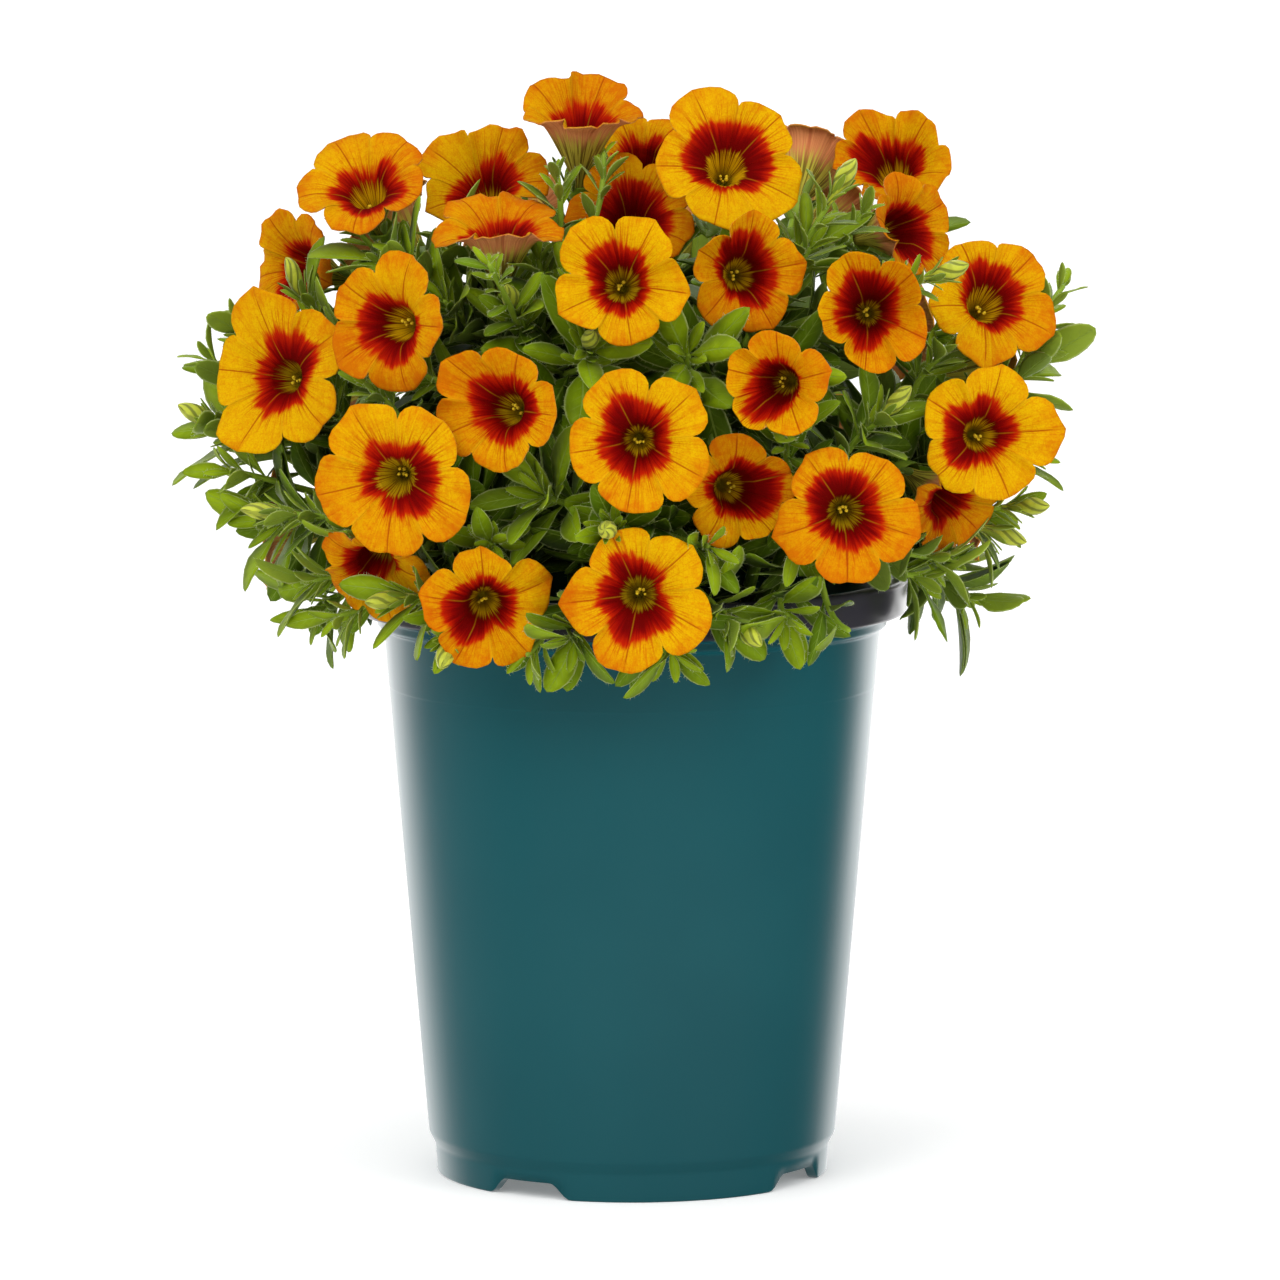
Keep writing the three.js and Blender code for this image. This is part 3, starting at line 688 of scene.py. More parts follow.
    def behind(self, paint: Paint, at: Petal) -> Socket:
        """Dusky backs with darker veins, and a yellow-green tube with dark lines."""
        petal = paint.mix(paint.rise(at.hair, 0.4, 0.65, 0, 0.55), self.back, self.back_vein)
        petal = paint.mix(paint.rise(at.reach, 0.8, 1.0, 0, 0.5), petal, self.yellow)
        petal = paint.mix(paint.rise(paint.size(at.rib), 0.15, 0.6, 0.7, 0), petal, self.back_vein)
        tube = paint.mix(paint.rise(at.fine, 0.48, 0.56, 0, 0.85), self.tube, self.tube_line)
        limit = self.shifted(paint, at.reach, ((at.fine, 0.3), (at.hair, 0.2)))
        return paint.mix(paint.rise(limit, 0.4, 0.62, 1, 0), petal, tube)


@dataclass(frozen=True)
class LeafFinish(Finish):
    """Soft green leaves: young ones bright, old ones dark, with a pale rib and margin.

    Attributes:
        vein_slant: how far the side veins lag behind the rib at the margin.
        vein_beat: how close they are.
    """

    young: tuple = srgb(140, 164, 14)
    grown: tuple = srgb(90, 120, 5)
    old: tuple = srgb(68, 90, 3)
    under: tuple = srgb(130, 148, 66)
    rib: tuple = srgb(136, 160, 60)
    margin: tuple = srgb(198, 210, 138)
    vein_slant: float = -0.22
    vein_beat: float = 44.0

    def material(self) -> Material:
        """Builds the material on the marks across, along, age and face."""
        paint = Paint(
            self.effects, "leaf", Roughness=0.5, Specular_IOR_Level=0.09,
            Sheen_Weight=0.02, Sheen_Roughness=0.35)
        along, age = paint.mark("along"), paint.mark("age")
        width = paint.size(paint.mark("across"))
        aged = paint.mix(paint.rise(age, 0.0, 0.55), self.young, self.grown)
        aged = paint.drift(paint.mix(paint.rise(age, 0.5, 1.0), aged, self.old), self.old, 0.4, 160.0)
        slant = paint.math("MULTIPLY_ADD", width, self.vein_slant, along)
        veins = paint.rise(paint.math("SINE", paint.times(slant, self.vein_beat)), 0.72, 1.0)
        veins = paint.times(veins, paint.rise(width, 0.0, 0.85, 0.32, 0.0))
        aged = paint.mix(veins, aged, self.rib)
        root = paint.rise(along, 0.0, 0.9, 0.13, 0.035)
        rib = paint.rise(paint.math("DIVIDE", width, root), 0.5, 1.1, 0.8, 0.0)
        lower = paint.mix(paint.rise(age, 0, 1, 0.55, 0.35), self.under, aged)
        lower, upper = (paint.mix(rib, side, self.rib) for side in (lower, aged))
        blade = paint.mix(paint.mark("face"), lower, upper)
        down = paint.rise(paint.clouds(1500.0, 1), 0.3, 0.6, 0.5, 1.0)
        edge = paint.times(paint.rise(width, 0.84, 0.99, 0.0, 0.66), down)
        height = paint.less(paint.grain(1900.0, 0.4), paint.plus(rib, veins))
        colour = paint.mix(edge, blade, self.margin)
        return paint.done(Base_Color=colour, Normal=paint.bump(height, 0.00014, 0.8))


# The turn of five waves round a stem or a bud, for a mark that goes from 0 to 1.
FIVE_WAVES = 31.4


@dataclass(frozen=True)
class StemFinish(Finish):
    """Pale green soft stems with lengthwise lines."""

    pale: tuple = srgb(152, 178, 52)
    deep: tuple = srgb(104, 134, 26)

    def material(self) -> Material:
        """Builds the material on the marks age and across."""
        paint = Paint(
            self.effects, "stem", Roughness=0.55, Specular_IOR_Level=0.2,
            Sheen_Weight=0.08, Sheen_Roughness=0.3)
        base = paint.drift(paint.mix(paint.mark("age"), self.pale, self.deep), self.deep, 0.6, 220.0)
        waves = paint.math("SINE", paint.times(paint.mark("across"), FIVE_WAVES))
        colour = paint.mix(paint.rise(waves, 0.2, 1.0, 0, 0.3), base, self.pale)
        return paint.done(Base_Color=colour, Normal=paint.bump(paint.grain(2400.0, 0.6), 0.00015, 0.7))


@dataclass(frozen=True)
class BudFinish(Finish):
    """Closed buds: yellow-green folds with darker seams that wind up to the tip."""

    light: tuple = srgb(188, 196, 52)
    dark: tuple = srgb(104, 112, 24)
    winding: float = 1.6

    def material(self) -> Material:
        """Builds the material on the marks along and across."""
        paint = Paint(self.effects, "bud", Roughness=0.5, Specular_IOR_Level=0.35, Sheen_Weight=0.1)
        round_it = paint.times(paint.mark("across"), FIVE_WAVES)
        wound = paint.math("MULTIPLY_ADD", paint.mark("along"), self.winding, round_it)
        seam = paint.rise(paint.math("SINE", wound), 0.1, 0.9, 0.0, 0.85)
        base = paint.drift(paint.mix(seam, self.light, self.dark), self.dark, 0.35, 400.0)
        height = paint.less(paint.grain(2000.0, 0.5), seam)
        return paint.done(Base_Color=base, Normal=paint.bump(height, 0.0002, 0.8))


@dataclass(frozen=True)
class DownFinish(Finish):
    """The fine pale hairs of leaves and stems."""

    pale: tuple = srgb(214, 224, 178)
    green: tuple = srgb(168, 190, 110)

    def material(self) -> Material:
        """Builds the material."""
        paint = Paint(self.effects, "down", Roughness=0.6, Specular_IOR_Level=0.3)
        return paint.done(Base_Color=paint.drift(self.pale, self.green, 0.8, 300.0))


@dataclass(frozen=True)
class PollenFinish(Finish):
    """Powdery yellow anthers."""

    yellow: tuple = srgb(236, 204, 40)
    ochre: tuple = srgb(180, 150, 26)

    def material(self) -> Material:
        """Builds the material."""
        paint = Paint(self.effects, "pollen", Roughness=0.85, Specular_IOR_Level=0.2)
        tone = paint.drift(self.yellow, self.ochre, 0.9, 1500.0)
        return paint.done(Base_Color=tone, Normal=paint.bump(paint.grain(5000.0, 1.0), 0.0002, 0.8))


@dataclass(frozen=True)
class PlasticFinish(Finish):
    """Glossy dark teal moulded plastic with a violet-grey rim, duller low down.

    The roughness stays above 0.274 everywhere. Below that, the noise filter
    takes what the gloss mirrors for a pattern of the plastic itself, and a
    wall that is seen steeply looks like leather.

    Attributes:
        rim_radius, rim_height, blend: where the rim's colour begins, in metres.
        flow: how close the clouds are along x, y and z.
        roughness: the least and the most, high up on the pot.
        low, low_roughness: what is added at the foot, and where that fades out.
    """

    teal: tuple = srgb(12, 80, 87)
    deep: tuple = srgb(8, 71, 79)
    rim: tuple = srgb(50, 48, 56)
    rim_radius: float = 0.058
    rim_height: float = 0.1232
    blend: float = 0.0003
    flow: tuple = (60.0, 60.0, 8.0)
    roughness: tuple = (0.28, 0.31)
    low: tuple = (0.04, 0.115)
    low_roughness: float = 0.07

    def material(self) -> Material:
        """Builds the material on the object's own place."""
        paint = Paint(self.effects, "gloss_plastic", Specular_IOR_Level=0.42, IOR=1.5)
        x, y, z = paint.node("SeparateXYZ", Vector=paint.place()).outputs
        clouds = paint.noise(paint.spot(*map(paint.times, (x, y, z), self.flow)), 1.0, 3)
        out = paint.node("VectorMath", {"operation": "LENGTH"}, Vector=paint.spot(x, y, 0.0))
        band = paint.times(
            paint.rise(out.outputs["Value"], self.rim_radius - self.blend, self.rim_radius),
            paint.rise(z, self.rim_height - self.blend, self.rim_height),
        )
        dull = paint.rise(z, *self.low, self.low_roughness, 0.0)
        return paint.done(
            Base_Color=paint.mix(band, paint.drift(self.teal, self.deep, 0.5, 14.0), self.rim),
            Roughness=paint.plus(paint.rise(clouds, 0.3, 0.7, *self.roughness), dull),
            Normal=paint.bump(clouds, 0.0003, 0.2),
        )


@dataclass(frozen=True)
class PeatFinish(Finish):
    """Damp dark peat with fibres and paler crumbs."""

    dark: tuple = srgb(40, 28, 20)
    crumb: tuple = srgb(92, 66, 44)

    def material(self) -> Material:
        """Builds the material on the object's own place and the mark age."""
        paint = Paint(self.effects, "peat", Roughness=0.92, Specular_IOR_Level=0.25)
        tone = paint.drift(self.dark, self.crumb, 0.8, 420.0)
        fibre = paint.noise(paint.spot(*[paint.mark("age")] * 3), 7.0, 1)
        colour = paint.mix(paint.rise(fibre, 0.45, 0.6, 0, 0.5), tone, self.crumb)
        return paint.done(Base_Color=colour, Normal=paint.bump(paint.grain(1400.0, 1.0), 0.0009))


@dataclass(frozen=True)
class FloorFinish(Finish):
    """A nearly white sheet that glows a little, as on a light table."""

    light: tuple = srgb(250, 250, 250)
    dark: tuple = srgb(244, 244, 243)
    glow: float = 0.2

    def material(self) -> Material:
        """Builds the material on the object's own place."""
        paint = Paint(
            self.effects, "floor", Roughness=0.75, Specular_IOR_Level=0.2, Emission_Color=WHITE,
            Emission_Strength=self.glow)
        part = paint.rise(paint.clouds(3.0, 2), 0.3, 0.7, 0, 0.3)
        return paint.done(Base_Color=paint.mix(part, self.light, self.dark))


# ---- how it all grows


CROWN = np.array([0.0, 0.0, 138.0])
SOIL_TOP = 118.5
SOIL_BUMP = 1.5
HOLE_DEPTH = 17
STEM_STEPS = 5
BRANCH_STEPS = 3
BRANCH_RADIUS = 0.85
SHOOT_RADIUS = 1.05
STALK_SIDES = 5
SHOOT_SIDES = 3
SHOOT_TAPER = 0.25
# How many of a stalk's ring points are tested: the calyx hides its last ring.
STALK_PROBES = 10
SHOOT_REACHES = (1, 0.9, 0.8, 0.7)
STALK_DEPTH = 21.5
BUD_EVERY = 3
BUD_LENGTH = 12
OUTLINE = np.array([101.0, 89.0, 241.0])
LOWEST_LEAF = 109
LEAF_CORNERS_SEEN = 6
BARE_RIM = {"left": 42, "right": 66, "top": 134}
DOWNY_FROM = 0.66

# How many stems, the turn of the first, the rise above level, reach and hole circle.
STEM_RINGS = [(9, 0, 12, 58, 37), (5, 36, 48, 52, 21), (1, 150, 82, 55, 3)]

# Blooms on the front half: centre of the face (x, y, z), turn, tip and radius.
FRONT_BLOOMS = [
    (-58, -25, 220.5, -15, 42, 15), (-32.5, -10, 219.5, -10, 40, 14.5), (-28, -45, 212, 0, 62, 14.5),
    (-11, -20, 234, 5, 66, 14.5), (20.5, -38, 225.5, 5, 25, 16.5), (57, 5, 222.5, -8, 35, 13.5),
    (60.5, -13, 209.5, 40, 12, 12.5), (77.5, -27, 195, 15, 20, 15), (51, -54, 194, 3, 5, 14),
    (24, -52, 202, 10, 5, 13.5), (0, -28, 213.5, 0, 32, 14), (-2, -68, 201.5, 0, 10, 14.5),
    (-52, -58, 192, -30, 5, 14.5), (-77, -38, 179.5, -30, 10, 17), (-74.5, -10, 201.5, -45, 15, 12),
    (-28.5, -76, 176, -25, 10, 14.5), (1.5, -86, 169, 0, 0, 15), (30, -79, 180.5, -15, 0, 12),
    (22.5, -70, 157.5, 15, 0, 12.5), (-50.5, -76, 160.5, -10, 0, 17), (-30.5, -75, 133, 5, -5, 13.5),
    (1.5, -84, 137, 0, 5, 15.5), (45.5, -76, 153, 5, 0, 15), (75.5, -50, 167.5, 10, 5, 15.5),
    (70, -38, 151, 40, -20, 12), (-55.5, -58, 139, -20, -30, 12), (2, 2, 225, 0, 45, 12),
    (39.5, 20, 223, 165, 38, 11.5),
]

# Front blooms that are yellower, and more orange with a wider red, than the rest.
YELLOW_BLOOMS = frozenset({4, 7, 11, 13, 16, 21, 23})
ORANGE_BLOOMS = frozenset({0, 2, 3, 6, 8, 9, 10, 14, 18, 22, 24})

# Blooms whose lobes are folded and twisted more than on the rest.
FOLDED_BLOOMS = frozenset({1, 5, 8, 9, 15, 17, 18, 20})

# Lobes that stand up on one side: the bloom, towards where, and how far at the rim.
LIFTED_LOBES = [
    (2, (0, -1, 0), 5.5), (3, (0.2, -1, 0), 4.0), (3, (-0.2, 1, 0), 5.0), (17, (-0.6, 0, -0.8), 9.0),
    (15, (-0.3, 0, 1), 5.0), (9, (-0.7, 0, 0.7), 5.5), (8, (0.7, 0, 0.7), 4.0), (8, (-0.8, 0, -0.6), 6.0),
    (6, (-1, 0, -0.6), 5.0), (5, (-0.9, 0, -0.4), 4.0), (0, (-0.3, -0.9, 0), 3.5), (18, (0.8, 0, 0.5), 4.0),
]

# Rows of blooms behind: first turn, last turn, count, height, distance, tip, radius.
BACK_ROWS = [(94, 266, 5, 146, 77, -2, 15), (94, 266, 6, 180, 79, 10, 15), (130, 250, 4, 211, 58, 38, 14.5)]

# Leafy shoot tips on the front: tip (x, y, z), leaves in the tuft, leaf length.
FRONT_SHOOTS = [
    (-88, -18, 166, 8, 21), (-78, -30, 147, 6, 21), (-68, -46, 136, 5, 19), (-46, -60, 134, 5, 19),
    (-12, -72, 127, 6, 21), (8, -72, 124, 5, 20), (20, -68, 131, 5, 19), (33, -62, 130, 6, 19),
    (62, -40, 136, 6, 20), (74, -28, 146, 4, 20), (86, -8, 178, 8, 22), (-18, -66, 156, 7, 20),
    (-10, -56, 186, 5, 22), (12, -56, 185, 6, 22), (38, -34, 206, 5, 20), (-24, -46, 192, 5, 19),
    (-40, -38, 195, 5, 20), (-54, -30, 203, 5, 18), (52, -50, 170, 6, 19),
]

# Small shoots that only fill out the green: tip (x, y, z) and leaf length.
SPARE_SHOOTS = [
    (-92, -10, 180, 18), (-86, -32, 158, 18), (-72, -44, 150, 17), (-60, -56, 146, 17), (-62, -52, 129, 17),
    (-38, -66, 127, 17), (-22, -72, 123, 18), (-30, -66, 146, 17), (-4, -76, 150, 16), (16, -72, 146, 17),
    (46, -62, 127, 17), (36, -66, 146, 16), (68, -42, 140, 17), (86, -18, 160, 18),
    (80, -30, 150, 17), (94, -6, 196, 16), (66, -30, 182, 17), (42, -38, 216, 15), (-6, -30, 226, 13),
    (-30, -66, 205, 13), (-62, -20, 212, 15), (-66, -34, 190, 17), (34, -60, 168, 17), (62, -44, 200, 16),
    (-55, -50, 177, 15), (-45, -50, 181, 15), (-66, -30, 172, 16), (50, -30, 214, 13), (-16, -34, 222, 13),
    (-70, -22, 193, 21), (-38, -22, 205, 22), (-48, -34, 204, 22), (-20, -40, 204, 22), (-84, -14, 186, 20),
    (-12, -44, 196, 22), (-52, -24, 178, 21), (-50, 22, 180, 21),
]

# Rows of shoot tips behind: first turn, last turn, count, height, distance, leaves, length.
BACK_SHOOT_ROWS = [(80, 285, 7, 133, 72, 5, 20), (96, 270, 7, 168, 80, 6, 20), (120, 250, 4, 202, 62, 5, 20)]


@dataclass
class Rod:
    """A stem, stalk or shoot: a cubic curve, known at a few joints.

    Attributes:
        handles: the curve's four control points.
        steps: the straight pieces that its solid has.
        end_side: the direction of the last ring's first point, or none.
    """

    handles: Array
    steps: int
    end_side: Array | None = None

    def curve(self, t: Array | float) -> Array:
        """Points on the smooth curve: the cubic Bernstein sum of the handles."""
        t = np.asarray(t, float)[..., None]
        a, b, c, d = self.handles
        return (1 - t) ** 3 * a + 3 * t * (1 - t) ** 2 * b + 3 * t**2 * (1 - t) * c + t**3 * d

    def slope(self, t: Array | float) -> Array:
        """Directions of the smooth curve, taken across a very short stretch."""
        t = np.asarray(t, float)
        return unit(self.curve(np.minimum(t + 1e-4, 1)) - self.curve(np.maximum(t - 1e-4, 0)))

    def frames(self, count: int) -> tuple[Array, Array, Array]:
        """Evenly spread places with sides that are carried back without a wring.

        Args:
            count: how many places, from the root to the end.

        Returns:
            The places, the first directions across and the second ones.
        """
        t = np.linspace(0, 1, count)
        slopes = self.slope(t)
        side = around(slopes[-1], 0) if self.end_side is None else self.end_side
        sides = [side]
        for slope in slopes[-2::-1]:
            side = unit(side - slope * np.dot(side, slope))
            sides.insert(0, side)
        sides = np.array(sides)
        return self.curve(t), sides, np.cross(sides, slopes)

    def straight(self, t: float) -> tuple[Array, Array, float]:
        """The start and the way of the solid's straight piece at t, and t's share of it."""
        piece = min(int(t * self.steps), self.steps - 1)
        start, stop = self.curve(np.array([piece, piece + 1]) / self.steps)
        return start, stop - start, t * self.steps - piece

    def at(self, t: float) -> Array:
        """The place on the solid's straight pieces."""
        start, way, share = self.straight(t)
        return start + way * share

    def towards(self, t: float) -> Array:
        """The direction of the solid's straight piece."""
        return unit(self.straight(t)[1])

    def probes(self, radius: float, sides: int, taper: float = 0) -> Array:
        """The ring points that the solid has at its joints, root left out."""
        places, across, up = self.frames(self.steps + 1)
        radii = radius * (1 - taper * np.arange(self.steps + 1) / self.steps)
        return tube_rings(places[None], across[None], up[None], radii[None], sides)[0, 1:].reshape(-1, 3)


def frames_of(rods: list[Rod], count: int) -> Iterable[Array]:
    """The places and the two directions across of all rods, each rods x count x 3."""
    frames = [rod.frames(count) for rod in rods]
    return (np.array([frame[k] for frame in frames]).reshape(-1, count, 3) for k in range(3))


@dataclass
class Bloom:
    """A bloom's place: face centre, facing, the face's two directions and radius."""

    centre: Array
    facing: Array
    side: Array
    up: Array
    radius: float
    index: int

    @classmethod
    def at(cls, centre: Array, turn: float, tip: float, radius: float, index: int) -> "Bloom":
        """A bloom that faces a turn and a tip, rolled by its own small angle."""
        facing = heading(turn, tip)
        roll = Draws(BLOOM_ROLL_SEED + index)() * 72
        return cls(centre, facing, around(facing, roll), around(facing, roll + 90), radius, index)

    def on_face(self, degrees: Array | float, reach: Array | float, depth: Array | float) -> Array:
        """Points at an angle, a reach from the axis and a depth behind the face."""
        angle = np.radians(degrees)[..., None]
        across = self.side * np.cos(angle) + self.up * np.sin(angle)
        reach, depth = np.asarray(reach)[..., None], np.asarray(depth)[..., None]
        return self.centre + across * reach - self.facing * depth


@dataclass
class Leaf:
    """A leaf's place and size; lush is how far it is from young (0) to old (1)."""

    HALF_THICKNESS = 0.325
    SHOULDER_AND_BELLY = ((0.42, 0.86), (0.76, 0.9))

    root: Array
    direction: Array
    upper: Array
    length: float
    width: float
    curl: float
    lush: float = 0.5

    def tip(self) -> Array:
        """The leaf's point."""
        return self.root + self.direction * self.length - self.upper * self.curl

    def corners(self) -> Array:
        """The points that its solid has at the shoulder, the belly and the tip."""
        flank = unit(np.cross(self.direction, self.upper))
        thick = self.upper * self.HALF_THICKNESS
        found = [self.tip() + thick, self.tip() - thick]
        for t, wide in self.SHOULDER_AND_BELLY:
            spine = self.root + self.direction * self.length * t - self.upper * self.curl * t * t
            for half in (-self.width * wide / 2, self.width * wide / 2):
                found += [spine + flank * half - thick, spine + flank * half + thick]
        return np.array(found)


@dataclass
class Stem:
    """A leafy stem with all that grows on it."""

    FIRST_FORK = 0.3
    LAST_FORK = 0.96
    FORK_STEP = 0.05
    FORK_BACK = 0.12

    direction: Array
    rod: Rod
    index: int
    stalks: list[tuple[Rod, Bloom]] = field(default_factory=list)
    shoots: list[tuple[Rod, bool]] = field(default_factory=list)
    leaves: list[Leaf] = field(default_factory=list)

    def fork(self, place: Array) -> float:
        """The stem's parameter nearest to a place, a little nearer the root."""
        best, nearest, t = self.FIRST_FORK, math.inf, self.FIRST_FORK
        while t < self.LAST_FORK:
            distance = float(np.linalg.norm(self.rod.at(t) - place))
            if distance < nearest:
                best, nearest = t, distance
            t += self.FORK_STEP
        return max(self.FIRST_FORK, best - self.FORK_BACK)

    def branch(
        self, place: Array, arrival: Array, bow: float, turn: float, end_side: Array | None = None,
    ) -> Rod:
        """A side branch to a place, arriving in a direction and bowed aside.

        Args:
            place: where the branch ends.
            arrival: its direction there.
            bow: how far its handles stand aside.
            turn: to which side, round its chord.
            end_side: the direction of its last ring's first point.

        Returns:
            The branch.
        """
        t = self.fork(place)
        start = self.rod.at(t)
        chord = place - start
        length = float(np.linalg.norm(chord))
        aside = around(chord / length, turn) * bow
        handles = np.array([
            start,
            start + self.rod.towards(t) * length * 0.35 + aside,
            place - arrival * length * 0.4 + aside,
            place,
        ])
        return Rod(handles, BRANCH_STEPS, end_side)


class Tuft(NamedTuple):
    """How a row of leaves is set along a rod.

    Attributes:
        count: how many there are.
        start, stop: the rod's parameter at the first and at the last leaf.
        spread: the angle between the rod and the first leaf, in degrees.
        length: their usual length in mm, or as a share of the shoot's own.
        seed: what the rod's number is added to, for the small differences.
        ages: the age of the first and of the last leaf, from 0 to 1.
        slim: their width as a share of the usual one.
    """

    count: int
    start: float
    stop: float
    spread: float
    length: float
    seed: int
    ages: tuple[float, float] = (0.75, 0.35)
    slim: float = 1.0

    def leaves(self, rod: Rod, number: int, scale: float = 1) -> list[Leaf]:
        """Leaves set round a rod, 137.5 degrees apart, as on a real shoot.

        Towards the end of the rod they stand closer to it and get smaller.

        Args:
            rod: what bears them.
            number: the rod's number.
            scale: what the length is multiplied by.

        Returns:
            The leaves, rooted on the smooth curve, with their tips where the
            solid's leaves end.
        """
        draw = Draws(self.seed + number)
        turn = draw() * 360
        found = []
        for i in range(self.count):
            part = i / (self.count - 1)
            t = self.start + (self.stop - self.start) * part
            tangent = rod.towards(t)
            lean = math.radians(self.spread * (1 - 0.45 * part) + draw.about(16))
            direction = tangent * math.cos(lean) + around(tangent, turn) * math.sin(lean)
            upper = unit(tangent - direction * np.dot(tangent, direction))
            size = self.length * scale * draw.within(0.82, 0.36) * (1 - 0.2 * part)
            width = size * draw.within(0.33, 0.09) * self.slim
            curl = size * draw.within(0.06, 0.16)
            age = self.ages[0] + (self.ages[1] - self.ages[0]) * part
            tip = rod.at(t) + direction * size - upper * curl
            root = rod.curve(t)
            way = tip + upper * curl - root
            found.append(Leaf(root, unit(way), upper, float(np.linalg.norm(way)), width, curl, age))
            turn += GOLDEN_TURN
        return found


# The leaves that the solids have, then those that only fill out the green.
STALK_LEAVES = Tuft(3, 0.3, 0.75, 62, 22, 3000)
SHOOT_LEAVES = Tuft(5, 0.55, 1, 72, 1, 4000, (0.6, 0.2))
STEM_LEAVES = Tuft(9, 0.3, 1, 66, 24, 5000, (0.9, 0.5))
STALK_FILLERS = [Tuft(8, 0.05, 0.86, 60, 19, 13000, (0.9, 0.4), 0.85)]
SHOOT_FILLERS = [
    Tuft(12, 0.15, 0.97, 66, 0.95, 14000, (0.85, 0.3), 0.85),
    Tuft(8, 0.84, 1, 46, 0.52, 15000, (0.15, 0.0), 0.72),
]
STEM_FILLERS = [
    Tuft(28, 0.15, 1, 72, 23, 16000, (1.0, 0.4), 0.9),
    Tuft(6, 0.9, 1, 40, 11, 17000, (0.2, 0.0), 0.72),
]


class Solids:
    """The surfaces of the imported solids, to see what grew where."""

    NEAR = 0.06

    def __init__(self, nodes: dict[str, Object]) -> None:
        """Builds a search tree for each node, and one of all that leaves keep clear of."""
        self.trees = {name: self.tree([node]) for name, node in nodes.items()}
        others = [node for name, node in nodes.items() if not name.startswith("leafy_stem")]
        self.obstacles = self.tree(others)

    @staticmethod
    def tree(nodes: list[Object]) -> BVHTree:
        """A search tree of nodes' faces, in mm.

        Args:
            nodes: the mesh objects.

        Returns:
            The tree.
        """
        places: list[Vector] = []
        faces: list[tuple[int, ...]] = []
        for node in nodes:
            points = np.empty(len(node.data.vertices) * 3, np.float32)
            node.data.vertices.foreach_get("co", points)
            first = len(places)
            faces += [tuple(first + corner for corner in face.vertices) for face in node.data.polygons]
            places += [Vector(p) for p in points.reshape(-1, 3) / METRE]
        return BVHTree.FromPolygons(places, faces)

    def hits(self, name: str, points: Array) -> int:
        """How many points lie on a node's surface."""
        near = self.trees[name].find_nearest
        return sum(near(Vector(p), self.NEAR)[0] is not None for p in points)

    def crossed(self, start: Array, stop: Array) -> bool:
        """True where a straight line meets a bloom, the pot or the soil."""
        way = Vector(stop - start)
        return self.obstacles.ray_cast(Vector(start), way.normalized(), way.length)[0] is not None


# How far a branch may bow aside, and to which side; the first that fits is taken.
BOWS = [(0, 0)] + [(bow, turn) for bow in (6, 12, 18) for turn in range(0, 360, 45)]
BLOOM_ROLL_SEED = 500
BACK_BLOOM_SEED = 700
BACK_SHOOT_SEED = 1500
FIRST_SPARE = 100


